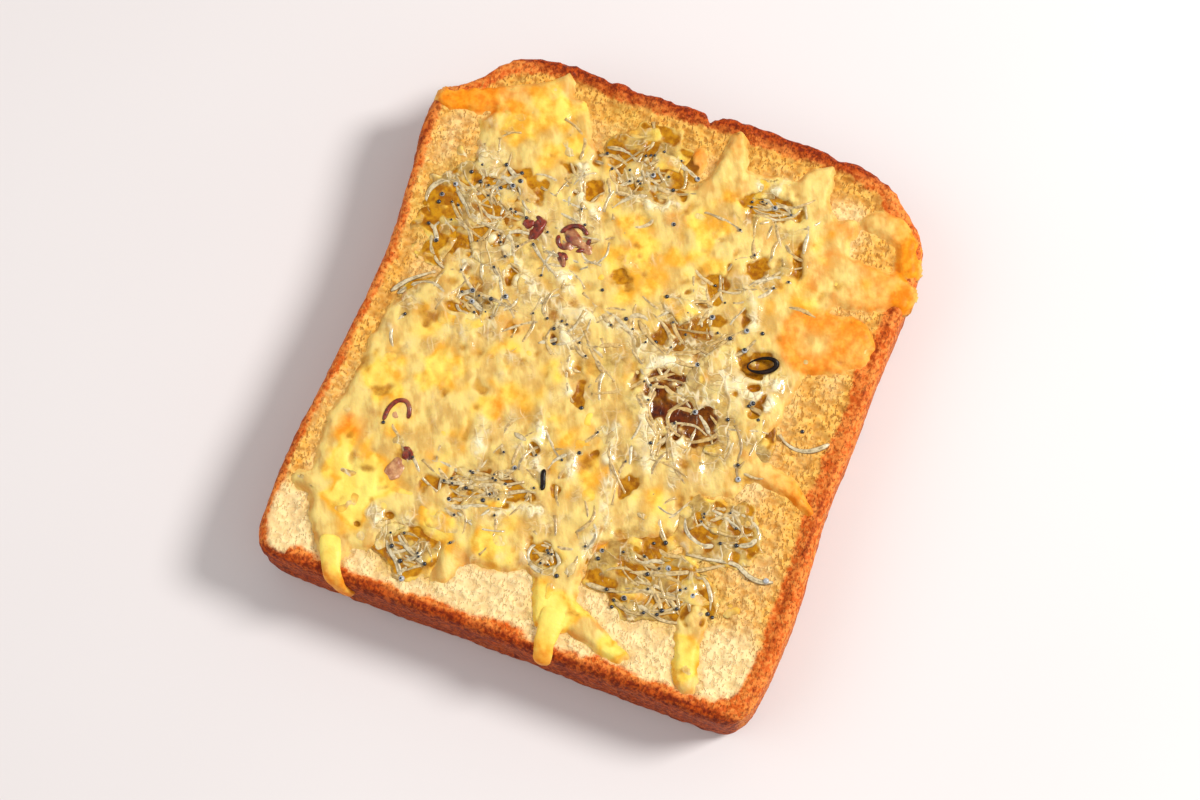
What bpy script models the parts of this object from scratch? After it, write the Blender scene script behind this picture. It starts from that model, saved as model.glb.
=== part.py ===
"""A thick slice of white toast with melted cheese, whitebait and small dark and red bits, as closed solids.

Metres, +Z up. The slice lies on its underside, with the origin under the middle of the whole. +X runs along
the foot of the slice and +Y towards its crown. The sizes and places below are in millimetres, with z = 0 at
the underside, and the whole is centred on its box at the end.
"""
import math
import random

import bmesh
import bpy
from mathutils import Vector

MM = 0.001
GAP = 0.3

# The slice of bread
CRUMB_Z = 19.2
RIM_RISE = 0.8
RIM_WAVE = 0.15
CRUST_WAVE = 0.16
# Anticlockwise round the crust, from the left end of the foot
CRUST = (
    (-57.4, -63.2), (-52.5, -66.2), (-30.0, -66.6), (0.0, -66.3), (30.0, -66.5), (51.5, -66.2),
    (56.8, -63.4), (58.9, -57.0), (60.2, -38.0), (58.8, -14.0), (59.3, 3.0), (59.5, 22.0),
    (60.2, 36.0), (60.4, 45.0), (58.8, 52.4), (55.2, 57.2), (50.8, 61.0), (45.6, 64.6),
    (34.0, 66.3), (17.0, 66.9), (-1.0, 66.5), (-20.0, 66.1), (-30.0, 66.8), (-41.5, 65.5),
    (-47.6, 62.2), (-51.2, 57.4), (-54.0, 54.2), (-57.6, 52.6), (-60.0, 48.2), (-60.4, 41.0),
    (-58.4, 28.0), (-56.6, 12.0), (-56.8, 0.0), (-58.3, -27.0), (-59.3, -42.0), (-59.0, -56.0),
)
# Cracks in the crown: place along X, depth, half width
CRACKS = ((2.7, 2.6, 2.0), (-22.0, 1.0, 1.6), (-16.0, 0.9, 1.3), (10.4, 0.8, 1.3), (33.8, 0.7, 1.3))
CROWN_Y = 60.0
# Rings of the slice from the underside up: inset from the crust's outline, height, how much of the cracks
SLICE_RINGS = (
    (1.7, 0.0, 0.6), (0.5, 0.7, 1.0), (0.0, 2.4, 1.0), (0.1, 17.6, 1.0), (0.7, 19.3, 1.0),
    (1.9, CRUMB_Z + RIM_RISE, 0.7), (3.3, CRUMB_Z + 0.75 * RIM_RISE, 0.2), (4.9, CRUMB_Z, 0.0),
)
SIDE_STEP = 6.0
CROWN_STEP = 3.2
CRACK_STEP = 1.1
CURVE_PARTS = 40

# The layer of melted cheese. Everything on the bread starts inside it, and the bread trims its underside.
START_Z = CRUMB_Z - GAP
FLOOR_Z = CRUMB_Z + GAP
SHEET_STEP = 4.2
# Inset and height of the sheet's edge, from below up
SHEET_EDGE = ((0.0, START_Z), (0.0, FLOOR_Z + 0.6), (0.35, FLOOR_Z + 1.05), (1.1, FLOOR_Z + 1.2))
SHEET = (
    (-47.0, 46.0), (-44.0, 52.0), (-38.0, 56.5), (-26.0, 59.0), (-23.0, 53.5), (-20.5, 48.5),
    (-10.0, 45.0), (0.0, 44.5), (5.0, 47.5), (8.0, 52.5), (15.0, 55.5), (24.0, 56.5), (34.0, 56.0),
    (38.0, 51.0), (43.0, 46.0), (45.0, 38.0), (44.0, 31.0), (43.0, 24.0), (43.0, 13.0), (42.0, 4.0),
    (40.0, -5.0), (40.0, -13.0), (38.0, -18.0), (31.0, -20.0), (28.5, -25.0), (29.0, -31.0),
    (22.0, -34.0), (14.5, -38.0), (12.5, -45.0), (13.0, -50.0), (7.0, -51.0), (0.0, -49.0),
    (-5.0, -51.5), (-11.0, -51.5), (-18.0, -50.0), (-30.0, -49.5), (-34.0, -57.0), (-40.0, -59.0),
    (-47.0, -55.0), (-50.0, -50.0), (-52.0, -42.0), (-53.5, -32.0), (-51.5, -20.0), (-50.5, -5.0),
    (-48.0, 2.0), (-42.5, 7.0), (-42.5, 17.0), (-43.5, 26.0), (-44.5, 36.0),
)
# Tongues that run out of the sheet: their course, the half width at each point, their thickness
TONGUES = (
    (((-36.0, 56.0), (-47.0, 51.8), (-56.4, 48.8)), (3.6, 2.9, 2.5), 1.9),
    (((-33.0, 54.0), (-32.0, 64.2)), (5.0, 1.0), 1.9),
    (((12.0, 51.0), (11.2, 64.6)), (4.4, 1.6), 1.9),
    (((30.0, 53.0), (31.5, 59.0), (33.4, 64.0)), (4.8, 3.2, 0.9), 1.9),
    (((46.0, 53.4), (51.0, 54.4), (55.6, 51.0), (57.4, 45.0)), (2.4, 3.0, 2.8, 2.2), 1.9),
    (((40.0, 46.5), (46.0, 51.0)), (3.6, 3.0), 1.6),
    (((43.0, 40.0), (57.0, 41.2)), (5.4, 3.4), 1.9),
    (((43.0, 22.0), (50.0, 24.2)), (7.4, 6.0), 1.5),
    (((39.0, -10.0), (47.0, -11.2), (55.4, -15.4)), (2.8, 2.2, 0.9), 1.5),
    (((-45.0, -47.0), (-54.2, -47.6)), (3.6, 1.7), 1.6),
    (((-44.0, -52.0), (-40.8, -60.0)), (5.6, 3.0), 1.9),
    (((7.0, -47.0), (10.2, -56.4)), (5.0, 4.6), 1.6),
    (((11.0, -55.0), (26.4, -60.2)), (3.8, 1.8), 1.5),
    (((-15.6, -49.0), (-15.8, -57.4)), (3.0, 2.2), 1.5),
)
# Share of a tongue's width, and share of its thickness, from the shoulder up
TONGUE_SHOULDER = ((1.0, 0.45), (0.84, 0.84), (0.5, 1.0))
END_PARTS = 5
# Drips over the edge: each point's place, the way out of the bread there, the half width
DRIPS = (
    (
        ((-41.2, -58.5, 19.8), (0.0, 0.0, 1.0), 3.0),
        ((-39.4, -63.6, 20.1), (0.0, -0.2, 1.0), 2.7),
        ((-37.6, -66.2, 19.2), (0.0, -0.8, 0.6), 2.5),
        ((-36.2, -66.6, 16.4), (0.0, -1.0, 0.1), 2.3),
        ((-35.0, -66.6, 13.6), (0.0, -1.0, 0.0), 2.1),
        ((-34.6, -66.6, 12.2), (0.0, -1.0, 0.0), 1.1),
    ),
    (
        ((10.4, -57.0, 19.8), (0.0, 0.0, 1.0), 3.4),
        ((10.8, -62.8, 20.0), (0.0, -0.1, 1.0), 2.8),
        ((11.2, -65.4, 19.5), (0.0, -0.7, 0.7), 2.6),
        ((11.4, -66.2, 17.6), (0.0, -1.0, 0.2), 2.2),
        ((11.5, -66.3, 16.2), (0.0, -1.0, 0.0), 1.2),
    ),
)
DRIP_THICK = 1.4
DRIP_TIP_HALF = 1.8
DRIP_SIDES = 8
# Mounds in the cheese: place, radius, height above the crumb
MOUNDS = (
    (-34.0, 50.0, 8.0, 2.3), (-20.0, 33.0, 5.5, 2.0), (-27.0, 14.0, 6.0, 2.0), (-9.0, 30.0, 6.5, 2.2),
    (3.0, 25.0, 7.0, 2.3), (16.0, 44.0, 6.5, 2.2), (33.0, 46.0, 5.5, 2.0), (38.0, 36.0, 5.0, 2.1),
    (8.0, 36.0, 5.0, 1.9), (31.0, 27.0, 4.5, 2.0), (-14.0, 9.0, 6.5, 2.1), (1.0, 12.0, 5.0, 1.9),
    (6.0, -8.0, 6.5, 2.2), (33.0, 6.0, 4.5, 2.0), (34.0, -12.0, 4.5, 2.0), (-45.0, -4.0, 5.0, 2.1),
    (-26.0, -3.0, 7.0, 2.2), (-13.0, -14.0, 6.0, 2.0), (21.0, -18.0, 6.0, 2.1), (-47.0, -17.0, 4.5, 2.0),
    (-33.0, -17.0, 6.5, 2.2), (-19.0, -24.0, 5.5, 2.2), (5.0, -31.0, 6.5, 2.2), (-45.0, -36.0, 6.5, 2.1),
    (23.0, -28.0, 4.5, 1.9), (-36.0, -47.0, 6.0, 2.2), (-7.0, -45.5, 4.5, 2.2), (-27.0, -28.0, 4.0, 1.9),
)
# Holes down to the soaked bread: place, half length, half width, turn in degrees
HOLES = (
    (-24.0, 42.2, 3.4, 1.1, -8.0), (-17.0, 38.2, 2.3, 2.0, 20.0), (24.8, 33.0, 2.0, 3.4, -12.0),
    (-3.6, 21.2, 3.0, 1.5, -15.0), (33.0, 38.6, 1.4, 3.2, 15.0), (-2.6, -6.4, 1.5, 4.4, 8.0),
    (15.4, -23.8, 1.7, 2.2, 20.0), (36.4, 2.6, 1.1, 2.7, -12.0), (-26.4, 11.4, 1.2, 2.2, 0.0),
)
ROUND_SIDES = 10
MOUND_SQUASH = 0.8
MOUND_TURN = 37.0
# Share of a mound's width, and share of its height, from the shoulder up
MOUND_SHOULDER = ((0.9, 0.55), (0.45, 1.0))
CUTTER_REACH = 12.0

# Heaps of whitebait: name, place, half length, half width, turn in degrees, how many fish
HEAPS = (
    ("whitebait_upper_left", -40.5, 25.5, 11.5, 13.0, 0.0, 9),
    ("whitebait_top", -7.0, 48.4, 11.6, 7.6, 0.0, 7),
    ("whitebait_top_right", 23.4, 49.0, 6.2, 3.4, 8.0, 2),
    ("whitebait_centre", 17.2, 15.6, 9.4, 7.4, 12.0, 5),
    ("whitebait_dark_hollow", 20.6, -2.8, 10.4, 6.4, -14.0, 6),
    ("whitebait_right", 37.0, -25.8, 8.6, 5.4, 0.0, 4),
    ("whitebait_lower_right", 28.8, -42.6, 14.2, 7.2, 0.0, 8),
    ("whitebait_lower_middle", -15.4, -35.8, 11.4, 4.6, 16.0, 5),
    ("whitebait_lower_left", -25.4, -55.2, 7.0, 5.6, -20.0, 4),
    ("whitebait_small_low", 3.6, -45.6, 4.6, 3.4, -30.0, 2),
    ("whitebait_small_left", -32.2, 4.0, 5.2, 2.8, -6.0, 2),
)
HEAP_SIDES = 16
HEAP_TOP = FLOOR_Z + 0.9
# Share of a heap's size, and height, of its low core from below up
HEAP_CORE = ((0.97, START_Z), (0.97, HEAP_TOP - 0.4), (0.86, HEAP_TOP))
HEAP_MARGIN = 1.3
FISH_LENGTH = (11.0, 22.0)
FISH_RADIUS = 0.85
FISH_SIDES = 5
FISH_POINTS = 6
FISH_BEND = 0.09
FISH_SHORTER = 0.985
FISH_SPREAD = 0.85
# Height of the lowest and of the topmost fish's middle over the core, and how far each one waves up and down
FISH_LAYERS = (-0.1, 0.8)
FISH_WAVE = 0.35
LONE_FISH_Z = CRUMB_Z + 1.1
# Fish that lie alone: name and course, head first
LONE_FISH = (
    (
        "whitebait_long",
        (
            (52.6, -33.0), (50.0, -34.0), (47.0, -33.6), (44.0, -32.2),
            (40.6, -32.6), (36.6, -33.4), (32.8, -33.7),
        ),
    ),
    ("whitebait_right_arc", ((53.8, 0.8), (51.6, -1.6), (48.6, -2.9), (45.4, -2.6), (43.2, -1.0))),
    ("whitebait_left_arch", ((-51.2, 0.2), (-49.2, 3.2), (-46.4, 5.8), (-43.8, 8.2))),
)
SEED = 23

# Red-brown pieces: place, half length, half width, turn in degrees, height above the crumb
RED_PIECES = (
    (-25.2, 25.4, 1.8, 3.0, -12.0, 2.4), (-15.4, 27.0, 3.4, 2.4, -25.0, 2.5),
    (-17.0, 20.6, 1.8, 2.0, 20.0, 2.3), (-38.8, -25.4, 2.5, 2.6, 0.0, 2.4),
    (-33.4, -36.8, 2.3, 4.2, -18.0, 2.3),
)
# A ring and a sliver of something black
DARK_RING = (33.9, 12.9, 3.3, 1.7, 20.0, 0.65)
DARK_RING_POINTS = 16
DARK_RING_SIDES = 6
DARK_SLIVER = (-2.6, -29.2, 0.7, 2.9, 12.0, 2.2)

SHARP_ANGLE = math.radians(35)
WELD = 0.004

COLOURS = {
    "bread": ((0.86, 0.55, 0.22), 0.85),
    "cheese": ((0.93, 0.66, 0.20), 0.35),
    "whitebait": ((0.60, 0.56, 0.42), 0.35),
    "red_piece": ((0.30, 0.05, 0.02), 0.35),
    "dark_piece": ((0.02, 0.015, 0.01), 0.30),
}


def material(kind):
    """The one plain material of a kind of piece."""
    found = bpy.data.materials.get(kind)
    if found:
        return found
    made = bpy.data.materials.new(kind)
    made.use_nodes = True
    shader = made.node_tree.nodes["Principled BSDF"]
    colour, rough = COLOURS[kind]
    shader.inputs["Base Color"].default_value = (*colour, 1.0)
    shader.inputs["Roughness"].default_value = rough
    shader.inputs["Metallic"].default_value = 0.0
    made.diffuse_color = (*colour, 1.0)
    return made


def add_object(name, mesh_builder, kind):
    """Links a new object holding the builder's faces, with its normals pointing out."""
    bmesh.ops.recalc_face_normals(mesh_builder, faces=mesh_builder.faces)
    mesh = bpy.data.meshes.new(name)
    mesh_builder.to_mesh(mesh)
    mesh_builder.free()
    obj = bpy.data.objects.new(name, mesh)
    bpy.context.scene.collection.objects.link(obj)
    mesh.materials.append(material(kind))
    return obj


def stack(name, rings, kind):
    """A closed solid through rings of equally many points, with a flat cap at each end."""
    builder = bmesh.new()
    rows = [[builder.verts.new(Vector(point) * MM) for point in ring] for ring in rings]
    count = len(rows[0])
    for low, high in zip(rows, rows[1:]):
        for i in range(count):
            j = (i + 1) % count
            builder.faces.new((low[i], low[j], high[j], high[i]))
    builder.faces.new(reversed(rows[0]))
    builder.faces.new(rows[-1])
    return add_object(name, builder, kind)


def smooth_closed(points, step_at):
    """A smooth closed curve through the points, as points that lie step_at(x, y) apart."""
    fine = []
    count = len(points)
    for i in range(count):
        before, start, end, after = (Vector(points[(i + k) % count]) for k in (-1, 0, 1, 2))
        bow = 2 * before - 5 * start + 4 * end - after
        twist = 3 * start - before - 3 * end + after
        for n in range(CURVE_PARTS):
            t = n / CURVE_PARTS
            fine.append((2 * start + (end - before) * t + bow * t**2 + twist * t**3) / 2)
    kept = [fine[0]]
    for point in fine[1:]:
        if (point - kept[-1]).length >= step_at(*point):
            kept.append(point)
    if (kept[-1] - kept[0]).length < 0.5 * step_at(*kept[0]):
        kept.pop()
    return kept


def inset_outline(points, inset):
    """The outline moved in by inset, and evened out where it moves far."""
    count = len(points)
    moved = []
    for i in range(count):
        along = (points[(i + 1) % count] - points[i - 1]).normalized()
        moved.append(points[i] + Vector((-along.y, along.x)) * inset)
    for _ in range(int(max(0.0, inset) * 2)):
        moved = [(moved[i - 1] + 2 * moved[i] + moved[(i + 1) % count]) / 4 for i in range(count)]
    return moved


def crack_step(x, y):
    """How far apart the crust's points lie: close at a crack, wide down the sides."""
    if y < CROWN_Y - 10:
        return SIDE_STEP
    near = any(abs(x - place) < half + CRACK_STEP for place, _, half in CRACKS)
    return CRACK_STEP if near and y > CROWN_Y else CROWN_STEP


def crack_depth(x, y):
    """How far a crack cuts into the crown here."""
    if y < CROWN_Y:
        return 0.0
    return max(depth * max(0.0, 1 - abs(x - place) / half) for place, depth, half in CRACKS)


def slice_solid(name, grow):
    """The slice, or the same grown by a gap all round, which trims what lies on it."""
    outline = smooth_closed(CRUST, crack_step)
    rings = []
    for inset, height, cracked in SLICE_RINGS:
        ring = []
        for point, base in zip(inset_outline(outline, inset), outline):
            # The crust is a little lumpy all round, and its rim rises and falls.
            lump = CRUST_WAVE * math.sin(base.x * 0.9 + base.y * 0.7) * math.cos(height * 0.8 + base.y)
            out = base.normalized() * lump
            lift = RIM_WAVE * math.sin(base.x * 0.31 + base.y * 0.23) if height > CRUMB_Z else 0.0
            drop = crack_depth(*base) * cracked
            ring.append((point.x + out.x, point.y + out.y - drop, height + lift))
        rings.append(ring)
    if grow:
        rings = grown(rings, grow)
    return stack(name, rings, "bread")


def grown(rings, grow):
    """The slice's rings moved out by grow sideways and up."""
    wide = []
    for ring in rings:
        flat = [Vector(point[:2]) for point in ring]
        count = len(flat)
        row = []
        for i in range(count):
            along = (flat[(i + 1) % count] - flat[i - 1]).normalized()
            out = flat[i] - Vector((-along.y, along.x)) * grow
            height = ring[i][2]
            row.append((out.x, out.y, height + grow if height > CRUMB_Z / 2 else height - grow))
        wide.append(row)
    return wide


def stroke(course, widths):
    """The outline of a brush stroke along the course, with round ends."""
    course = [Vector(point) for point in course]
    left, right = [], []
    for i, point in enumerate(course):
        ahead = course[min(i + 1, len(course) - 1)] - course[max(i - 1, 0)]
        side = Vector((-ahead.y, ahead.x)).normalized()
        left.append(point + side * widths[i])
        right.append(point - side * widths[i])
    outline = list(right)
    outline += half_turn(course[-1], right[-1] - course[-1])
    outline += reversed(left)
    outline += half_turn(course[0], left[0] - course[0])
    return outline


def half_turn(centre, spoke):
    """Points half way round the centre from the spoke's end, without the first and the last."""
    turned = []
    for k in range(1, END_PARTS):
        angle = math.pi * k / END_PARTS
        c, s = math.cos(angle), math.sin(angle)
        turned.append(centre + Vector((spoke.x * c - spoke.y * s, spoke.x * s + spoke.y * c)))
    return turned


def tongue(course, widths, thick):
    """A flat-bottomed strip with rounded shoulders."""
    rings = [[(point.x, point.y, START_Z) for point in stroke(course, widths)]]
    for share, rise in TONGUE_SHOULDER:
        outline = stroke(course, [width * share for width in widths])
        rings.append([(point.x, point.y, FLOOR_Z + thick * rise) for point in outline])
    return stack("tongue", rings, "cheese")


def ellipse(x, y, half_long, half_wide, turn, count, share=1.0):
    """Points round an ellipse, anticlockwise."""
    c, s = math.cos(math.radians(turn)), math.sin(math.radians(turn))
    points = []
    for k in range(count):
        angle = 2 * math.pi * k / count
        u, v = half_long * share * math.cos(angle), half_wide * share * math.sin(angle)
        points.append((x + u * c - v * s, y + u * s + v * c))
    return points


def mound(x, y, half_long, half_wide, turn, height, kind):
    """A low dome that stands this high above the crumb."""
    foot = ellipse(x, y, half_long, half_wide, turn, ROUND_SIDES)
    rings = [[(*point, START_Z) for point in foot]]
    for share, rise in MOUND_SHOULDER:
        outline = ellipse(x, y, half_long, half_wide, turn, ROUND_SIDES, share)
        rings.append([(*point, FLOOR_Z + (height - GAP) * rise) for point in outline])
    return stack("mound", rings, kind)


def well(x, y, half_long, half_wide, turn, count=ROUND_SIDES):
    """A straight cutter right through the cheese."""
    outline = ellipse(x, y, half_long, half_wide, turn, count)
    heights = (CRUMB_Z - CUTTER_REACH, CRUMB_Z + CUTTER_REACH)
    return stack("well", [[(*point, height) for point in outline] for height in heights], "cheese")


def drip(places):
    """A flattened bead of cheese along places on the bread's surface."""
    rings = []
    centres = [Vector(place) for place, _, _ in places]
    for i, (_, out, half) in enumerate(places):
        ahead = (centres[min(i + 1, len(centres) - 1)] - centres[max(i - 1, 0)]).normalized()
        side = ahead.cross(Vector(out).normalized()).normalized()
        up = side.cross(ahead)
        thick = DRIP_THICK * min(1.0, half / DRIP_TIP_HALF)
        turns = [2 * math.pi * k / DRIP_SIDES for k in range(DRIP_SIDES)]
        rings.append([centres[i] + side * math.cos(a) * half + up * math.sin(a) * thick for a in turns])
    return stack("drip", rings, "cheese")


def tube(course, radii, sides, kind):
    """A tube along a level or gently rising course."""
    centres = [Vector(point) for point in course]
    rings = []
    for i, centre in enumerate(centres):
        ahead = (centres[min(i + 1, len(centres) - 1)] - centres[max(i - 1, 0)]).normalized()
        side = ahead.cross(Vector((0, 0, 1))).normalized()
        up = side.cross(ahead)
        turns = [2 * math.pi * k / sides for k in range(sides)]
        rings.append([centre + (side * math.cos(a) + up * math.sin(a)) * radii[i] for a in turns])
    return stack("tube", rings, kind)


def fish_radius(t):
    """A whitebait's half thickness along its length: blunt head at 0, thin tail at 1."""
    return FISH_RADIUS * (0.62 + 0.38 * math.sin(math.pi * min(1.0, t * 2.2) * 0.5) - 0.62 * t**1.6)


def fish(course, heights):
    """One whitebait along the course, with its middle at these heights."""
    count = len(course)
    points = [(x, y, z) for (x, y), z in zip(course, heights)]
    return tube(points, [fish_radius(k / (count - 1)) for k in range(count)], FISH_SIDES, "whitebait")


def course_in(x, y, half_long, half_wide, turn, draw):
    """A bent course that stays inside a heap's outline, shortened until it does."""
    room_long, room_wide = half_long - HEAP_MARGIN, half_wide - HEAP_MARGIN
    length = draw.uniform(*FISH_LENGTH)
    while True:
        angle = draw.uniform(0, 2 * math.pi)
        reach = math.sqrt(draw.random()) * FISH_SPREAD
        u, v = room_long * reach * math.cos(angle), room_wide * reach * math.sin(angle)
        heading, bend = draw.uniform(0, 2 * math.pi), draw.uniform(-FISH_BEND, FISH_BEND)
        course = []
        for k in range(FISH_POINTS):
            course.append((u, v))
            u += math.cos(heading) * length / (FISH_POINTS - 1)
            v += math.sin(heading) * length / (FISH_POINTS - 1)
            heading += bend * length / (FISH_POINTS - 1)
        if all((u / room_long) ** 2 + (v / room_wide) ** 2 < 1 for u, v in course):
            break
        length *= FISH_SHORTER
    c, s = math.cos(math.radians(turn)), math.sin(math.radians(turn))
    return [(x + u * c - v * s, y + u * s + v * c) for u, v in course]


def combine(obj, others, operation):
    """Joins or cuts the object with all the others at once, and removes them."""
    group = bpy.data.collections.new("group")
    bpy.context.scene.collection.children.link(group)
    for other in others:
        bpy.context.scene.collection.objects.unlink(other)
        group.objects.link(other)
    modifier = obj.modifiers.new(operation, "BOOLEAN")
    modifier.operation = operation
    modifier.operand_type = "COLLECTION"
    modifier.collection = group
    modifier.solver = "MANIFOLD"
    graph = bpy.context.evaluated_depsgraph_get()
    mesh = bpy.data.meshes.new_from_object(obj.evaluated_get(graph))
    obj.modifiers.clear()
    obj.data = mesh
    for other in others:
        bpy.data.objects.remove(other)
    bpy.data.collections.remove(group)
    return obj


def keep_largest(obj):
    """Merges hair-thin edges and drops the loose scraps that trimming leaves."""
    builder = bmesh.new()
    builder.from_mesh(obj.data)
    bmesh.ops.triangulate(builder, faces=builder.faces)
    bmesh.ops.remove_doubles(builder, verts=builder.verts, dist=WELD * MM)
    bmesh.ops.dissolve_degenerate(builder, edges=builder.edges, dist=WELD * MM)
    bmesh.ops.triangulate(builder, faces=builder.faces)
    islands = []
    left = set(builder.verts)
    while left:
        island, front = set(), [left.pop()]
        while front:
            vert = front.pop()
            island.add(vert)
            for other in (link.other_vert(vert) for link in vert.link_edges):
                if other in left:
                    left.discard(other)
                    front.append(other)
        islands.append(island)
    largest = max(islands, key=len)
    bmesh.ops.delete(builder, geom=[v for v in builder.verts if v not in largest], context="VERTS")
    builder.to_mesh(obj.data)
    builder.free()
    return obj


def named(obj, name):
    """Gives the object and its mesh the node's name."""
    obj.name = name
    obj.data.name = name
    return obj


def finished(obj, name):
    """Trims the piece to lie a gap clear of the bread, and names it."""
    combine(obj, [slice_solid("bread_with_gap", GAP)], "DIFFERENCE")
    return named(keep_largest(obj), name)


def cheese():
    """The sheet with its tongues, drips and mounds, open where the fish and the other bits lie."""
    outline = smooth_closed(SHEET, lambda x, y: SHEET_STEP)
    rings = []
    for inset, height in SHEET_EDGE:
        rings.append([(point.x, point.y, height) for point in inset_outline(outline, inset)])
    sheet = stack("sheet", rings, "cheese")
    added = [tongue(*row) for row in TONGUES] + [drip(places) for places in DRIPS]
    for k, (x, y, radius, height) in enumerate(MOUNDS):
        added.append(mound(x, y, radius, radius * MOUND_SQUASH, MOUND_TURN * k, height, "cheese"))
    combine(sheet, added, "UNION")
    cutters = [well(*row) for row in HOLES]
    cutters += [well(x, y, a + GAP, b + GAP, turn, HEAP_SIDES) for _, x, y, a, b, turn, _ in HEAPS]
    cutters += [well(x, y, a + GAP, b + GAP, turn) for x, y, a, b, turn, _ in (*RED_PIECES, DARK_SLIVER)]
    x, y, a, b, turn, thick = DARK_RING
    cutters.append(well(x, y, a + thick + GAP, b + thick + GAP, turn))
    combine(sheet, cutters, "DIFFERENCE")
    return finished(sheet, "cheese")


def heap(row, draw):
    """A low core with the fish that show fused on."""
    name, x, y, half_long, half_wide, turn, count = row
    rings = []
    for share, height in HEAP_CORE:
        outline = ellipse(x, y, half_long, half_wide, turn, HEAP_SIDES, share)
        rings.append([(*point, height) for point in outline])
    core = stack("core", rings, "whitebait")
    lowest, topmost = FISH_LAYERS
    added = []
    for k in range(count):
        middle = HEAP_TOP + lowest + (topmost - lowest) * k / count
        course = course_in(x, y, half_long, half_wide, turn, draw)
        added.append(fish(course, [middle + FISH_WAVE * math.sin(n * 1.3 + k) for n in range(FISH_POINTS)]))
    combine(core, added, "UNION")
    return finished(core, name)


def lone_fish(name, course):
    """A bent fish that rests on the crumb."""
    return finished(fish(course, [LONE_FISH_Z] * len(course)), name)


def dark_ring():
    """A squashed ring, round in section, that lies on the crumb."""
    x, y, half_long, half_wide, turn, thick = DARK_RING
    outline = ellipse(x, y, half_long, half_wide, turn, DARK_RING_POINTS)
    centres = [Vector((*point, FLOOR_Z + thick)) for point in outline]
    builder = bmesh.new()
    rows = []
    for i, centre in enumerate(centres):
        ahead = (centres[(i + 1) % DARK_RING_POINTS] - centres[i - 1]).normalized()
        side = ahead.cross(Vector((0, 0, 1)))
        row = []
        for k in range(DARK_RING_SIDES):
            angle = 2 * math.pi * k / DARK_RING_SIDES
            spot = centre + (side * math.cos(angle) + Vector((0, 0, 1)) * math.sin(angle)) * thick
            row.append(builder.verts.new(spot * MM))
        rows.append(row)
    for i in range(DARK_RING_POINTS):
        low, high = rows[i], rows[(i + 1) % DARK_RING_POINTS]
        for k in range(DARK_RING_SIDES):
            j = (k + 1) % DARK_RING_SIDES
            builder.faces.new((low[k], low[j], high[j], high[k]))
    return named(add_object("dark_ring", builder, "dark_piece"), "dark_ring")


def centre_on_origin(objects):
    """Moves the meshes so that the whole's box stands on z = 0 with its middle over the origin."""
    corners = [vert.co for obj in objects for vert in obj.data.vertices]
    middle = [(min(c[k] for c in corners) + max(c[k] for c in corners)) / 2 for k in (0, 1)]
    shift = Vector((-middle[0], -middle[1], -min(c[2] for c in corners)))
    for obj in objects:
        for vert in obj.data.vertices:
            vert.co += shift


def main():
    for obj in list(bpy.data.objects):
        bpy.data.objects.remove(obj)
    draw = random.Random(SEED)
    objects = [slice_solid("bread", 0.0), cheese()]
    objects += [heap(row, draw) for row in HEAPS]
    objects += [lone_fish(*row) for row in LONE_FISH]
    for k, (x, y, a, b, turn, height) in enumerate(RED_PIECES, 1):
        objects.append(finished(mound(x, y, a, b, turn, height, "red_piece"), f"red_piece_{k}"))
    objects.append(finished(mound(*DARK_SLIVER, "dark_piece"), "dark_sliver"))
    objects.append(dark_ring())
    centre_on_origin(objects)
    for obj in objects:
        obj.data.shade_smooth()
        obj.data.set_sharp_from_angle(angle=SHARP_ANGLE)


main()
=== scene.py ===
"""The looks of a thick slice of toast with melted cheese, whitebait and a few red and black bits.

Places and sizes below are in millimetres, drawn with +X along the foot of the slice and +Y towards its crown,
and with z = 0 at the underside. on_frame() turns them into the frame's metres.
"""

import math
import random

import bmesh
import bpy
import numpy as np
from mathutils import Matrix, Vector


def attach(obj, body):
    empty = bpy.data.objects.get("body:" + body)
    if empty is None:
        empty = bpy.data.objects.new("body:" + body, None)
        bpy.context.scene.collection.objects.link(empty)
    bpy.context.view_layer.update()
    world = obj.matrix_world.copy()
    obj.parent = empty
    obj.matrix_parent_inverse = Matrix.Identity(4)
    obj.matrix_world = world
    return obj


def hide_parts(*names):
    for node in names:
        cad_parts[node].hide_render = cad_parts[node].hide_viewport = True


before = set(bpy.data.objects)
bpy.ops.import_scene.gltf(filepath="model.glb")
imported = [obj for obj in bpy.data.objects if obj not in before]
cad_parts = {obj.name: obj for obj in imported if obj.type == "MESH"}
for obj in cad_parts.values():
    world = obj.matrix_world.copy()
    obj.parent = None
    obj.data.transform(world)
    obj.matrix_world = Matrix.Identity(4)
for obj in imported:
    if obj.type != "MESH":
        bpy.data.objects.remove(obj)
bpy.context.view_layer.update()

MM = 0.001
# How far the drawing lies from the frame, so that the whole is centred
DRAWN_SHIFT = np.array((-0.077, 0.490, 0.0))
CRUMB_Z = 19.2
HIGHEST = 22.0

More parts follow.
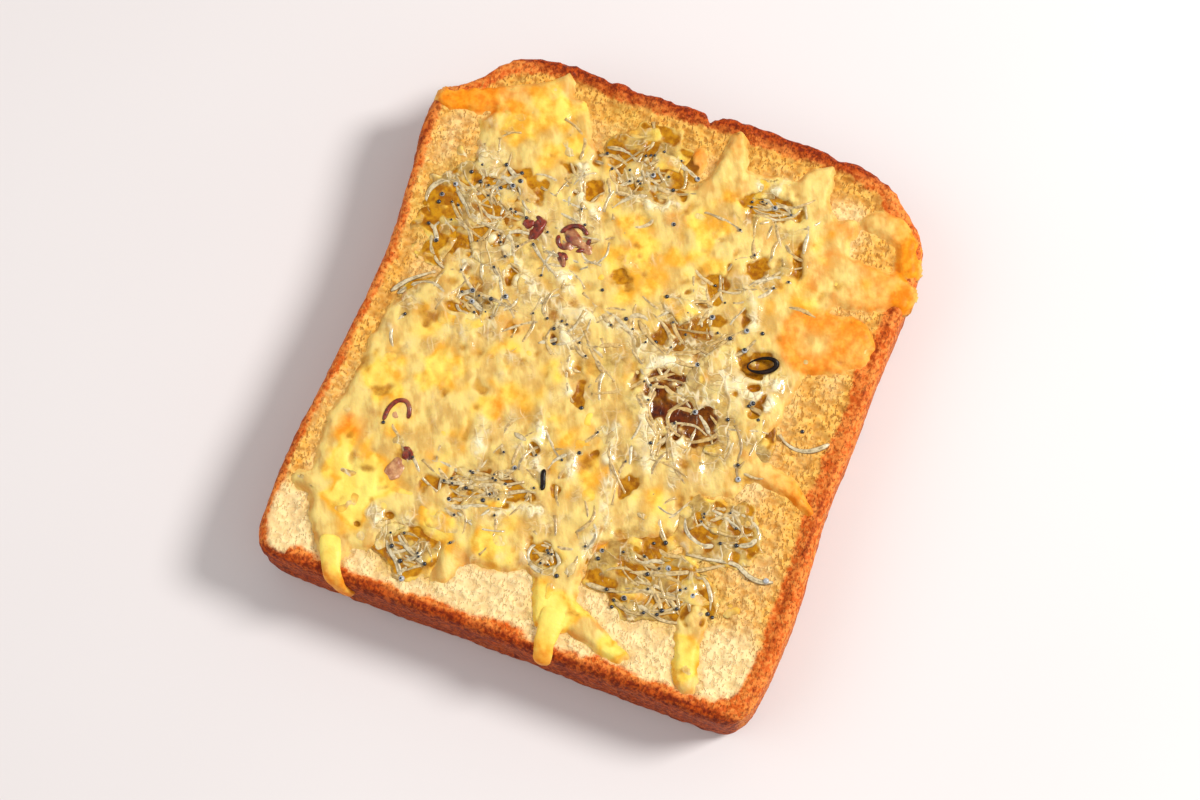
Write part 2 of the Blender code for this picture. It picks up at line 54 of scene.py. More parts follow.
# The slice of bread
CRUST = (
    (-57.4, -63.2), (-52.5, -66.2), (-30, -66.6), (0, -66.3), (30, -66.5), (51.5, -66.2), (56.8, -63.4),
    (58.9, -57), (60.2, -38), (58.8, -14), (59.3, 3), (59.5, 22), (60.2, 36), (60.4, 45), (58.8, 52.4),
    (55.2, 57.2), (50.8, 61), (45.6, 64.6), (34, 66.3), (17, 66.9), (-1, 66.5), (-20, 66.1), (-30, 66.8),
    (-41.5, 65.5), (-47.6, 62.2), (-51.2, 57.4), (-54, 54.2), (-57.6, 52.6), (-60, 48.2), (-60.4, 41),
    (-58.4, 28), (-56.6, 12), (-56.8, 0), (-58.3, -27), (-59.3, -42), (-59, -56),
)
CRACKS = (
    (2.7, 2.6, 1.9), (-22, 1, 1.5), (-16, 0.9, 1.2), (10.4, 0.8, 1.2), (33.8, 0.7, 1.2), (-33, 0.5, 1),
    (22, 0.5, 1.1), (45, 0.6, 1),
)
CROWN_Y = 60.0
OUTLINE_POINTS = 300
# Inset and height of each ring from the underside up
SLICE_RINGS = (
    (1.7, 0), (0.5, 0.7), (0, 2.4), (0, 10), (0.1, 17.4), (0.7, 19.2), (1.9, 19.95), (3.3, 19.75),
    (4.9, CRUMB_Z),
)
BREAD_VOXEL = 0.5
PIT_COUNT = 5200

# The melted cheese
SHEET = (
    (-47, 46), (-44, 52), (-38, 56.5), (-26, 59), (-23, 53.5), (-20.5, 48.5), (-10, 45), (0, 44.5),
    (5, 47.5), (8, 52.5), (15, 55.5), (24, 56.5), (34, 56), (38, 51), (43, 46), (45, 38), (44, 31),
    (43, 24), (43, 13), (42, 4), (40, -5), (40, -13), (38, -18), (31, -20), (28.5, -25), (29, -31),
    (22, -34), (14.5, -38), (12.5, -45), (13, -50), (7, -51), (0, -49), (-5, -51.5), (-11, -51.5),
    (-18, -50), (-30, -49.5), (-34, -57), (-40, -59), (-47, -55), (-50, -50), (-52, -42), (-53.5, -32),
    (-51.5, -20), (-50.5, -5), (-48, 2), (-42.5, 7), (-42.5, 17), (-43.5, 26), (-44.5, 36),
)
# Tongues that run out of the sheet: their course, the half width at each point, their height, how browned
TONGUES = (
    (((-36, 56), (-47, 51.8), (-56.4, 48.8)), (3.6, 2.9, 2.3), 1.5, 0.95),
    (((-33, 54), (-32, 64.2)), (5, 0.9), 1.5, 0.25),
    (((12, 51), (11.4, 57.4), (10.6, 63)), (4.4, 3, 1.6), 1.7, 0.45),
    (((30, 53), (31.5, 59), (33.4, 64)), (4.6, 3, 0.8), 1.4, 0.35),
    (((46.8, 53.6), (51, 54.2), (55.4, 50.6), (57.4, 44.6)), (2.6, 2.9, 2.6, 1.9), 1.5, 1),
    (((38, 46), (41, 50)), (3.4, 2.2), 1.4, 0.45),
    (((42, 38), (50, 38.2), (57.4, 39.8)), (5.6, 4.9, 3.2), 1.6, 0.7),
    (((56, 41.6), (58.4, 37.2)), (2.2, 1.6), 1.5, 1),
    (((43, 22), (50, 24.2)), (7.4, 6), 1.3, 0.75),
    (((39, -10), (47, -11.2), (55.4, -15.4)), (2.8, 2.2, 0.8), 1.4, 0.85),
    (((-45, -47), (-54.4, -47.6)), (3.6, 1.5), 1.5, 0),
    (((-44, -52), (-40.8, -60)), (5.6, 2.8), 1.6, 0.05),
    (((7, -47), (10.2, -56.4)), (5, 4.4), 1.5, 0.05),
    (((11, -55), (19, -57.4), (26.4, -60.4)), (3.6, 2.7, 1.5), 1.5, 0.1),
    (((-15.6, -49), (-15.8, -57)), (3, 2), 1.2, 0.1),
    (((40, -52.6), (41, -57), (42.6, -61.4)), (2.5, 2.4, 2), 1.5, 0.1),
    (((38.5, -46), (40, -53)), (3.2, 2.5), 1.1, 0),
    (((3, 50), (3.4, 56)), (1.6, 1.9), 0.9, 0.6),
)
CHEESE_STEP = 0.38
SHRED_COUNT = 420
SUNK_COUNT = 190
# The way most shreds and streaks run, in degrees from +X
STREAK_TURN = -62.0
# Windows where the soaked bread shows through: place, half length, half width, turn, how dark and red
WINDOWS = (
    (-24, 42.2, 4, 1.3, -8, 0.4), (-17, 38.4, 2.6, 2.2, 20, 0.3), (-10, 40.2, 1.8, 1.4, 0, 0.3),
    (-1, 46.3, 3, 2.4, 0, 0.35), (25.2, 33.4, 2, 3.4, -12, 0.45), (33, 38.2, 1.3, 3.4, 15, 0.35),
    (23, 48.8, 3.2, 1.5, 8, 0.35), (-3.5, 21.2, 2.8, 1.5, -15, 0.35), (-26.5, 12, 1.3, 2.4, 0, 0.5),
    (-29.6, 35.6, 2.2, 2.8, 30, 0.2), (-39, 28.6, 2.4, 2.2, 0, 0.2), (-36.2, 26.4, 2.2, 1.6, 0, 0.35),
    (-46.4, 25.6, 1.8, 1.6, 0, 0.4), (-49.6, 26, 1.3, 3, 0, 0.4), (-43.2, 23, 1.5, 1.2, 0, 0.4),
    (-44, 20.4, 2.2, 1.3, -20, 0.4), (-37.4, 20, 1.6, 1.5, 0, 0.2), (-44, 13.4, 1.7, 2.6, 20, 0.25),
    (-33.2, 37, 3, 1.4, 20, 0.2), (-31.2, 26.4, 1.6, 2, 0, 0.3), (18, 26.4, 2.6, 3.6, 10, 0.5),
    (10.4, 12.2, 2, 3.2, -8, 0.62), (14.4, 11, 1.6, 1.6, 0, 0.65), (17.4, 15.8, 2.6, 2.5, 0, 0.58),
    (21.2, 18.6, 1.8, 1.6, 0, 0.55), (26.5, 21, 1.3, 2.4, 0, 0.6), (36.3, 3, 1.1, 2.9, -10, 0.45),
    (16.2, -5, 2, 2.6, 0, 1), (21.2, -6.2, 2.4, 2.4, 0, 1), (27.4, -6, 2.4, 3.4, -10, 0.8),
    (15.6, 2.6, 3.8, 1.3, 6, 0.9), (13.8, 0.2, 0.9, 1.2, 0, 1), (-3.4, -3, 1.9, 0.9, -35, 0.45),
    (-2, -7.2, 1.3, 4, 4, 0.5), (6.3, -19.2, 1, 1.4, 10, 0.5), (15.2, -24.2, 2, 2.2, 20, 0.55),
    (-9, -32, 1.6, 1, 20, 0.3), (-20.6, -37.4, 1.2, 0.9, 0, 0.5), (0.6, -30.6, 1, 1.2, 0, 0.4),
    (3, -45.4, 2.2, 1.8, -20, 0.4), (17.4, -44.8, 1.6, 1, 0, 0.4), (16.6, -49.8, 2.4, 1, 0, 0.3),
    (36.4, -22.4, 4.2, 1.5, 6, 0.15), (-27.4, -51.4, 1.1, 0.8, 30, 0.6), (-24, -53.4, 1.1, 0.9, 0, 0.5),
    (-37.6, -53, 0.8, 0.6, 0, 0.6), (-31.5, -48.4, 1, 0.8, 0, 0.5), (33.2, -29.6, 3.6, 2.2, 0, 0.1),
    (-22, 1.6, 1.6, 1.3, 0, 0.3), (-12.6, 2.2, 0.7, 1.2, 30, 0.8), (-33, 3.2, 2.6, 1.2, -20, 0.6),
    (-36.6, 1.6, 1.6, 1, 0, 0.4), (29, 12.4, 1.2, 1.8, 30, 0.5), (30.4, 4.2, 1.2, 1.4, 0, 0.3),
    (19, -11.2, 1.1, 1.8, 30, 0.7), (33.8, 7, 1.6, 0.8, 20, 0.4), (-7, -23.8, 0.9, 1.8, 20, 0.35),
    (24.4, -46, 2.2, 0.9, -10, 0.25), (30, -42.6, 2.2, 0.9, 10, 0.25), (-43, 31.6, 1.2, 1, 0, 0.3),
    (33.8, 12.6, 4.2, 2.6, 22, 0.6), (33, 9.6, 2, 0.8, 10, 0.6), (-24.8, -57.4, 1.6, 1.2, 0, 0.2),
    (38, -29, 2.6, 1.2, 0, 0.15),
)
# Browned, milky and bright yellow places: place, radius, strength
BROWNED = (
    (-47, 51.6, 5.5, 0.5), (-54, 49.4, 4.5, 0.9), (57, 45, 4, 0.9), (53, 53, 4, 0.8), (58, 38, 3, 0.9),
    (49, 22, 7, 0.55), (47, 29, 4.5, 0.4), (53, -13.6, 4, 0.7), (45, -10.4, 4, 0.6),
    (-48, -32.4, 4.4, 0.75), (-43.6, -29.6, 2.6, 0.4), (44, 33, 5, 0.35), (-21, 1.4, 3, 0.5),
    (-19, -17.2, 3.6, 0.45), (3.4, 38, 3, 0.3), (12, 62.6, 2.6, 0.6), (-44.6, 7.4, 3.4, 0.35),
    (3.2, 55.4, 2.2, 0.5), (37, 41, 3.2, 0.4), (10.6, -62, 3, 0.3), (-7, 34, 3, 0.3),
    (33.6, 61.6, 2.6, 0.35), (-50.4, -12, 2.4, 0.4), (24.6, 40.4, 2.4, 0.3),
)
MILKY = (
    (22, 2, 17, 0.55), (12, -14, 10, 0.45), (-42, 38, 6, 0.75), (-34, 15, 7, 0.7), (-24, 27, 6, 0.5),
    (12, -40, 4.5, 0.95), (-31, -52, 5, 0.6), (39, -46.4, 3.6, 0.6), (-21, 8, 8, 0.4), (-44, 28, 5, 0.7),
    (30, 10, 8, 0.5), (-4, 4, 9, 0.25), (24, 52, 5, 0.35), (37, 8, 5, 0.6), (-6, 44, 6, 0.5),
    (16, 24, 5, 0.4), (-52.4, -47.6, 3, 0.55), (-30, 2, 6, 0.35), (-14, -22, 5, 0.4), (3, -26, 5, 0.3),
    (11, -47, 4, 0.7), (-17, -44, 5, 0.5), (-35, 22, 5, 0.6),
)
# Streams of milky cheese: course, half width, and how much slimmer they are laid
STREAM_SLIM = 0.7
STREAMS = (
    (((-47, 39.5), (-43, 37.5), (-39, 33.5)), 2.6), (((-44, 29.5), (-40, 26.5), (-35, 23), (-31, 19)), 1.6),
    (((-36, 20), (-33, 16), (-30, 12)), 2.2), (((-30, 18), (-26, 13), (-21, 9), (-14, 7.5)), 1.7),
    (((-14, 7), (-9, 3), (-6.5, -4), (-4.5, -9)), 1.1), (((-22, 24), (-19, 18), (-14, 15), (-9, 11)), 1.8),
    (((1, 9.5), (7, 6.5), (14, 6), (21, 8.5), (27, 12.5)), 1.5),
    (((10, 5), (11.5, 0), (13, -5), (16, -11)), 1.4), (((20, 3), (25, 5.5), (31, 6.5), (38, 4.5)), 2.4),
    (((10, 19), (13.5, 17.5), (16.5, 19.5)), 2.2), (((12.6, 15), (12.8, 10)), 0.9),
    (((22, -9), (23, -14), (24.5, -20)), 1.2), (((8, -12), (9, -20)), 1.3),
    (((-9, -14), (-7, -22), (-3, -29)), 1.2), (((-20, -21), (-19, -28)), 2),
    (((1, -22), (2.5, -26.5)), 1.6), (((13.5, -33), (12, -40), (11.8, -47)), 2.2),
    (((-35, -49), (-30.5, -52), (-27, -49.5)), 2), (((-10, 42), (-3, 39.5), (3, 42)), 1.3),
    (((-20, 36.5), (-14, 33), (-11, 28)), 1.3), (((24, 30), (27.5, 25), (29.5, 20)), 1.2),
    (((-12, -42), (-7, -37.5), (-1, -36)), 1.3), (((38, -44.6), (39.2, -47.6)), 1.8),
    (((-52, -47.5), (-46, -46.5)), 1.6), (((17, 52.5), (23, 53)), 1.2),
)
# Broad milky bands across the middle
BANDS = (
    (((-28, 15), (-20, 11), (-12, 9.5), (0, 10.5), (10, 8)), 2.4),
    (((10, 7), (12.4, -4), (15, -12), (18, -19)), 2), (((21, 9), (30, 8), (38, 9.5)), 2),
    (((11, -25), (13, -34), (12.8, -42)), 1.8), (((-21, 43), (-16.5, 31)), 1.8),
)
# Places where the cheese is thin and grey-brown from the fish and the soaked bread below
HAZY = (
    (17, 13, 9.5, 0.9), (20, -2, 11, 1), (29, -7, 8, 0.8), (8, 8, 6, 0.6), (-31, 19, 8, 0.6),
    (-24, 21, 5, 0.5), (-30, 4, 7, 0.65), (-14, -34, 9, 0.6), (-7, 45, 10, 0.7), (-40, 24, 10, 0.7),
    (13, -16, 6, 0.45), (34, -28, 8, 0.5), (28, -42, 12, 0.8), (-25, -54, 7, 0.7), (23, 49, 6.5, 0.7),
    (19, 26, 6, 0.5), (-5, -2, 5, 0.4), (3.5, -46, 5.5, 0.7), (-17, 40, 8, 0.4), (27, 34, 4.5, 0.5),
    (32, 36, 5.5, 0.75), (2, 2, 6, 0.35), (-46, 4, 6, 0.5), (34, 10, 6, 0.5), (-8, -24, 5, 0.4),
    (-17, 26, 6, 0.4), (-34, -34, 5, 0.3),
)
YELLOW = (
    (-42, -46, 10, 0.85), (-33, 56, 8, 0.8), (-38.4, 48.8, 7, 0.8), (0.8, 26, 7.5, 0.8), (-4, 32, 6, 0.7),
    (11, 37.6, 6.5, 0.65), (31.6, 38.6, 6.5, 0.1), (18, 47, 5, 0.5), (-1, 17.6, 4.5, 0.6),
    (-38, -2.4, 5.5, 0.5), (-23, -5.8, 6.5, 0.65), (-11, -4, 4.5, 0.6), (4.4, -1, 5, 0.45),
    (-33.4, -14.4, 8, 0.7), (-19.6, -19, 5, 0.75), (-1, -16, 5, 0.6), (-44, -18, 6.5, 0.7),
    (7.8, -25, 6.5, 0.7), (-6, -38.6, 5, 0.7), (-8, -47, 6, 0.75), (-21.4, -46.6, 5.5, 0.75),
    (-45, -39, 6, 0.7), (10, -56, 7, 0.8), (24.6, -60, 5, 0.7), (41, -56, 6, 0.75), (23, -24.6, 5.5, 0.5),
    (38.4, 28.4, 5.5, 0.6), (-28, 44, 6, 0.5), (-26, -32, 5, 0.5), (28, -11, 4, 0.35), (21.5, 4, 4, 0.35),
    (-12.8, 37, 4, 0.4), (16, 31, 4.5, 0.5), (-48, 33, 3, 0.3), (37, 45, 5, 0.6), (-16, -13, 5, 0.6),
)
# Places where the yellow is a paler lemon
LEMON = (
    (-42, -46, 13, 1), (-33, 56, 8, 0.4), (10, -55, 9, 1), (24, -59, 7, 0.9), (41, -56, 7, 1),
    (-46, -24, 8, 0.6), (-18, -47, 8, 0.7), (-37, 46, 6, 0.4), (-33, -14, 8, 0.4), (-1, 31, 5, 0.3),
)
# Smooth blobs of milky cheese over the middle's fish: place, half length, half width, turn
SMOOTH_BLOBS = (
    (22.5, 3, 7, 4.6, 20), (13.2, 18.4, 5.4, 3.2, -10), (25, 11, 4.2, 3, 40), (-35, 16, 4, 2.6, -30),
    (-42.5, 37, 3.6, 2.6, 0), (30, -9.5, 3, 2.2, 0), (-30, -50.6, 3, 2.2, 20),
)
# Thin films of oily cheese on the crumb round the heaps: the heap, middle, half length, half width
FILMS = (
    ("whitebait_lower_right", 36.6, -26.4, 9.6, 7.6), ("whitebait_lower_right", 29, -42.4, 15.4, 8.2),
    ("whitebait_lower_right", 23, -35.6, 7.6, 6.6), ("whitebait_lower_left", -25.4, -53.4, 8.6, 6.8),
    ("whitebait_top", -8.2, 50.2, 10.8, 8.2), ("whitebait_upper_left", -42, 24.4, 10.4, 13.4),
    ("whitebait_small_left", -42, 1.6, 7, 4.4), ("whitebait_dark_hollow", 38.6, -5, 3.6, 8),
)
# Drips over the edge: each point's place, the way out of the bread there, the half width
DRIPS = (
    (
        ((-42, -57, 20.2), (0, 0, 1), 2.6),
        ((-41.2, -60, 20.3), (0, 0, 1), 2.6),
        ((-39.4, -63.6, 20.2), (0, -0.2, 1), 2.3),
        ((-37.8, -66, 19.3), (0, -0.8, 0.6), 2.1),
        ((-36.6, -66.7, 16.8), (0, -1, 0.1), 2),
        ((-35.4, -66.7, 14.4), (0, -1, 0), 2.2),
        ((-34.8, -66.6, 12.4), (0, -1, 0), 1.5),
    ),
    (
        ((10.2, -55, 20.2), (0, 0, 1), 3),
        ((10.4, -58.6, 20.2), (0, 0, 1), 3),
        ((10.8, -62.6, 20.2), (0, -0.1, 1), 2.5),
        ((11.2, -65.4, 19.7), (0, -0.7, 0.7), 2.3),
        ((11.4, -66.5, 18.2), (0, -1, 0.2), 2.1),
        ((11.5, -66.6, 16.6), (0, -1, 0), 1.6),
    ),
)
DRIP_NAMES = ("cheese_drip_left", "cheese_drip_right")
# Of these, rise carries painted highlight on raised cheese and painted shade in its hollows.
CHEESE_LAYERS = ("milk", "brown", "deep", "dark", "gold", "rise", "haze")

# The whitebait
# Heaps: node, middle, half length, half width, turn, how many fish besides the placed ones
HEAPS = (
    ("whitebait_upper_left", -40.5, 25.5, 11, 12.5, 0, 8),
    ("whitebait_top", -7, 48.4, 11.2, 7.2, 0, 11),
    ("whitebait_top_right", 23.4, 49, 6, 3.2, 8, 5),
    ("whitebait_centre", 17.2, 15.6, 9, 7, 12, 2),
    ("whitebait_dark_hollow", 20.6, -2.8, 10, 6, -14, 2),
    ("whitebait_right", 37, -25.8, 8.2, 5, 0, 6),
    ("whitebait_lower_right", 28.8, -42.6, 13.6, 6.8, 0, 12),
    ("whitebait_lower_middle", -15.4, -35.8, 11, 4.2, 16, 11),
    ("whitebait_lower_left", -25.4, -55.2, 6.6, 5.2, -20, 8),
    ("whitebait_small_low", 3.6, -45.6, 4.4, 3.2, -30, 4),
    ("whitebait_small_left", -32.2, 4, 5, 2.6, -6, 6),
)
# How dark and red the gaps of some heaps are
HEAP_DARK = {
    "whitebait_dark_hollow": 0.9, "whitebait_centre": 0.5,
    "whitebait_lower_right": 0.3, "whitebait_top": 0.25,
}
# How far the gaps between a heap's strands are opened
HEAP_GAPS = {
    "whitebait_dark_hollow": 0.9, "whitebait_centre": -0.5,
    "whitebait_lower_right": 0.3, "whitebait_top": 0.25,
}
# Placed fish of each heap: half width, course from the head on
PLACED_FISH = {
    "whitebait_upper_left": (
        (0.95, ((-47.4, 29.6), (-50.6, 28.6), (-52.2, 25.4), (-51.2, 22.2), (-49.2, 20.4))),
        (0.9, ((-46.6, 28.8), (-43.2, 25.8), (-39.8, 23.4), (-36, 22.4), (-31, 22))),
        (0.85, ((-34.4, 33.4), (-37.4, 34.6), (-37.4, 31.4), (-34.2, 28.6), (-30.8, 27.4))),
        (0.8, ((-33.8, 22.6), (-30.6, 21.6), (-28.4, 18.6), (-27, 14.6))),
        (0.8, ((-45.6, 21.6), (-40.4, 20.2), (-38, 17), (-36, 13.8), (-31.6, 12.2))),
        (0.8, ((-49.2, 18.4), (-47.6, 17.4), (-46.6, 13.2), (-43.6, 10.2), (-40.2, 9))),
        (0.8, ((-45.8, 15.2), (-47.6, 18.2), (-45.8, 19.8), (-43, 18.6))),
        (0.8, ((-41.8, 31.8), (-42.6, 27), (-41, 24.8), (-37.2, 23.8))),
        (0.75, ((-37.4, 37.4), (-34, 35.2), (-30.6, 30.4), (-28, 28.4))),
        (0.75, ((-33.2, 36.8), (-36.4, 34), (-38.4, 30.8), (-37.4, 27.6))),
    ),
    "whitebait_small_left": (
        (0.85, ((-49.6, 0.2), (-47.4, 3.2), (-44.2, 4.7), (-41.6, 4.8), (-38.2, 3))),
        (0.8, ((-32.8, 4), (-29.4, 3), (-27.2, 4.8), (-26.2, 8.4))),
        (0.75, ((-33.6, 6.6), (-36, 4.6), (-35.4, 1.6), (-32.6, 0.8))),
        (0.75, ((-46, -4), (-47.4, -7), (-47, -10), (-44.8, -13.4))),
    ),
    "whitebait_centre": (
        (0.95, ((4.2, 12.8), (6.2, 11), (8.8, 8.8), (13, 8), (18, 9.8), (21.2, 13), (24.6, 16.6))),
        (0.85, ((1.6, 12), (3.6, 13.8), (6, 13.6), (7.4, 11.4))),
        (0.8, ((19.6, 19.6), (17.6, 22.4), (14.6, 21.4), (12.2, 18.4))),
        (0.7, ((8.4, 20.2), (12.2, 20.6), (15, 18.2), (15.6, 14.6))),
        (0.8, ((28, 19), (25, 16.6), (23.2, 12.8), (24, 9.4))),
        (0.8, ((29, 14.6), (26.8, 12), (22.8, 10.8), (18.6, 11.6))),
        (0.8, ((20.4, 7.6), (16, 6.6), (12.2, 7.4), (7.2, 10.2))),
        (0.75, ((34.6, 27.6), (38.6, 27.8), (43.4, 27))),
        (0.75, ((31.6, 19.6), (30.2, 16.4), (28, 13), (25.6, 12.2))),
    ),
    "whitebait_dark_hollow": (
        (0.85, ((34.4, 2.4), (38, 1.6), (38.4, -3.4), (38.2, -8), (37.2, -11.6))),
        (0.85, ((23.6, -2.8), (19.2, -3.2), (18.2, -6.4), (20.6, -8.8), (24.6, -9.4))),
        (0.85, ((31, -2), (29.8, -6.2), (26.6, -8.8), (22.8, -10.6))),
        (0.8, ((13.6, -1), (13.2, -5.2), (15.6, -8.4), (19.4, -9.6))),
        (0.8, ((14.6, 1), (17.6, -0.6), (21.8, 0.4), (25.6, -1.4), (29.4, -4))),
        (0.8, ((37.8, -14), (36.6, -10.8), (35.6, -6), (33, -2.6))),
        (0.8, ((19, -8.4), (20.4, -12), (21.6, -15.4))),
        (0.8, ((17, -8.8), (18.6, -12.4), (19, -15.6))),
    ),
    "whitebait_right": (
        (0.85, ((42.6, -28.2), (45.6, -26.4), (45.6, -23.2), (42.4, -21.4), (38.6, -21))),
        (0.8, ((39, -29), (35.4, -30.8), (31.4, -29.2), (29.8, -25.8), (30.8, -22.2))),
        (0.8, ((35.2, -21.8), (39, -21.4), (42.6, -24.6), (41.8, -27.4))),
        (0.8, ((27.8, -33), (25, -29.6), (24.2, -25.4), (26.2, -22.6))),
    ),
    "whitebait_lower_right": (
        (0.9, ((21.6, -42.2), (27.8, -40.2), (33, -38.2), (37, -36), (40.4, -33.8), (43.4, -32.2))),
        (0.85, ((43, -45), (42, -43.6), (41, -40.6), (38.2, -37.6), (35, -39.4))),
        (0.85, ((14.4, -47.6), (20, -47.2), (24.2, -45.2), (28.4, -44.8))),
        (0.85, ((32.2, -47.6), (30, -45), (26.2, -42.2), (21, -41.2))),
        (0.8, ((23.6, -47.8), (28, -48.4), (33.2, -49.4), (37.6, -48.4))),
        (0.8, ((21.6, -49.2), (25.6, -50), (30.4, -49), (35, -46.6))),
        (0.8, ((37.2, -42), (33.4, -43.4), (28.8, -42.8), (24.2, -43.6))),
        (0.8, ((35.2, -46), (31.6, -44.2), (27.4, -44.6), (23, -46.6), (19.2, -47.4))),
        (0.8, ((30.4, -38.2), (27.4, -37.4), (24.2, -39), (21.4, -38))),
        (0.8, ((41.8, -44.6), (38.4, -45.6), (36.6, -42), (37.4, -38.6))),
        (0.8, ((25.2, -34), (28.4, -35.4), (32, -35), (35.8, -36.4))),
    ),
    "whitebait_lower_middle": (
        (0.85, ((-20.6, -40.8), (-16.6, -38.8), (-12, -36.8), (-5.2, -34))),
        (0.8, ((-13.6, -38.2), (-9.8, -35.2), (-5.2, -32.8), (-1.4, -32.4))),
        (0.8, ((-18, -37), (-14.6, -34.8), (-10.2, -33.2), (-6.4, -31))),
        (0.8, ((-9.4, -29), (-12.2, -32.2), (-16.6, -34.2), (-21.2, -34.6))),
        (0.8, ((-22.4, -42.4), (-17.6, -41.6), (-13.4, -39.6), (-8.8, -38.8))),
        (0.8, ((-12.6, -21.4), (-9, -22.6), (-6.6, -24.4), (-5.2, -27.6))),
        (0.7, ((2.8, -20.8), (0.2, -22), (-1.8, -24.2), (-2.8, -26.8))),
    ),
    "whitebait_lower_left": (
        (0.85, ((-20.4, -56), (-23.8, -54.6), (-27.6, -52.6), (-29.4, -49.8))),
        (0.85, ((-24.2, -60.6), (-26.4, -57.6), (-29.2, -55.4), (-31.2, -52))),
        (0.8, ((-25.6, -57.4), (-22.8, -55.2), (-21.2, -51.8))),
    ),
    "whitebait_small_low": (
        (0.8, ((7.6, -48.4), (3.8, -48.8), (0.4, -46.8), (0.8, -43.4), (4.2, -42.8))),
        (0.8, ((5.8, -43.2), (7.6, -45.8), (5.2, -48.2), (1.2, -47.8))),
    ),
    "whitebait_top": (
        (0.85, ((-5, 47), (-8.4, 44.6), (-12.2, 40.2), (-12.6, 34.6))),
        (0.85, ((5, 49.8), (1.2, 51.2), (-2.6, 52.4), (-4.6, 49.2), (-2, 46.4))),
        (0.8, ((-8.6, 44.4), (-9.6, 49.6), (-7.8, 54.6), (-9.6, 59.6))),
        (0.8, ((-4, 45.2), (-0.4, 44.4), (2.6, 46.6), (1.8, 50.6))),
        (0.8, ((-18.6, 47.4), (-14.6, 48.4), (-10.6, 46.6), (-7.4, 43.2))),
        (0.8, ((-17.4, 50), (-12.8, 50.6), (-8.6, 48.2), (-6, 44.6))),
    ),
    "whitebait_top_right": (
        (0.8, ((24, 49), (20.8, 50.6), (17.6, 49.2))),
        (0.75, ((28.8, 48.6), (25.6, 50.2), (22.2, 48), (18.6, 47.6))),
    ),
}
LONE_FISH = (
    (
        "whitebait_long", 0.85,
        (
            (52.8, -33), (50, -34), (47, -33.6), (44, -32.2),
            (40.6, -32.6), (36.6, -33.4), (32.8, -33.7),
        ),
    ),
    ("whitebait_right_arc", 0.85, ((54, 0.8), (51.6, -1.6), (48.6, -2.9), (45.4, -2.6), (42.8, -1))),
    ("whitebait_left_arch", 0.8, ((-51.2, 0.2), (-49.2, 3.2), (-46.4, 5.8), (-43.4, 8.2))),
)
# Eyes: place and how pale a ring each has
EYES = (
    (-47, 29.3, 0.8), (-49, 26, 0.6), (-49, 24, 0.2), (-49.2, 18.3, 0.1), (-46, 15, 0.6),
    (-42.8, 35.8, 0.6), (-41.8, 31.8, 0.2), (-37.5, 37.5, 0.1), (-33.5, 37, 0.1), (-33, 34.8, 0.7),
    (-34.2, 33.2, 0.9), (-36.8, 32, 0.5), (-28.5, 27, 0.4), (-26, 7.5, 0.9), (-33.6, 6.5, 0.9),
    (-32.8, 4, 0.8), (-28.8, 5.8, 0.3), (-13, 4.3, 0.4), (-11.7, 1, 0.1), (-46, -4, 0), (-40.8, -29.5, 0.2),
    (-5, 47, 0.8), (5, 49.8, 0.8), (24, 49, 0.8), (3.8, 37, 0.5), (-6, 16.7, 0.3), (1.5, 12, 0.4),
    (8.3, 20.2, 0.3), (14, 18.4, 0.3), (19.5, 19.5, 0.9), (20.3, 7.7, 0.6), (25, 16, 0.3), (29, 14.5, 0.9),
    (31.5, 19.5, 0.2), (28, 19, 0.9), (35, 3.4, 0.9), (34.3, 2.5, 0.3), (37.4, 0.2, 0.3), (31, -2, 0.4),
    (23.5, -2.8, 0.9), (-0.6, -10.8, 0.3), (36.6, -11, 0.4), (37.8, -14, 1), (2.7, -20.7, 0.4),
    (-9.4, -29, 0.5), (-20.7, -40.6, 0.6), (-18, -37, 0.3), (-13.5, -38.2, 0.3), (8, -48.5, 0.4),
    (15.3, -39.5, 0.5), (15, -41.5, 0.3), (19.2, -47.3, 0.3), (23.5, -47.8, 0.9), (21.5, -49, 0.3),
    (21.6, -50.5, 0.2), (27.7, -33, 0.3), (25.3, -34, 0.3), (30.3, -38.2, 0.9), (37.3, -42, 0.9),
    (35.1, -46, 0.3), (32.2, -47.5, 0.3), (31.5, -48.7, 0.2), (41.8, -44.7, 0.3), (43, -45, 0.4),
    (42.5, -28.2, 0.2), (39, -29, 0.3), (51.2, -33.3, 1), (-25.6, -57.2, 0.4), (-24, -60.8, 1),
    (-20.3, -56, 0.4), (-10.4, 46.4, 0.3), (0.6, 45.2, 0.2), (-16.8, 48.4, 0.2), (-44.6, 33.4, 0.2),
    (9.6, 9.4, 0.2), (26.4, -41, 0.3), (28.6, -49.4, 0.2), (-28.6, -54.8, 0.3), (16.8, -13.2, 0.1),
    (47.4, 1.4, 0.2),
)
FISH_RINGS = 15
SNOUT = 0.38
FISH_SIDES = 8
FISH_SLIM = 0.82
EYE_RADIUS = 0.46
SEED = 71

# The other bits: the ring's place, half length, half width, turn and thickness, and the sliver's course
DARK_RING = (33.9, 12.4, 3.3, 1.6, 27.0, 0.36)
DARK_SLIVER = ((-3.2, -27.0), (-2.9, -28.6), (-2.3, -30.2), (-2.0, -31.6))

# The camera: its place, and the ways its right, its up and its lens point
CAMERA_PLACE = (65.3, -138.4, 525.8)
CAMERA_RIGHT, CAMERA_UP = Vector((0.9348, 0.3544, -0.0242)), Vector((-0.3347, 0.9015, 0.2746))
CAMERA_AHEAD = Vector((-0.1191, 0.2486, -0.9613))


def clean_slate():
    """Object mode with nothing selected."""
    if bpy.context.mode != "OBJECT":
        bpy.ops.object.mode_set(mode="OBJECT")
    bpy.ops.object.select_all(action="DESELECT")


def started(name, primitive, **settings):
    """A new primitive under its name, alone in the selection."""
    clean_slate()
    primitive(**settings)
    obj = bpy.context.object
    obj.name = name
    obj.data.name = name
    return obj


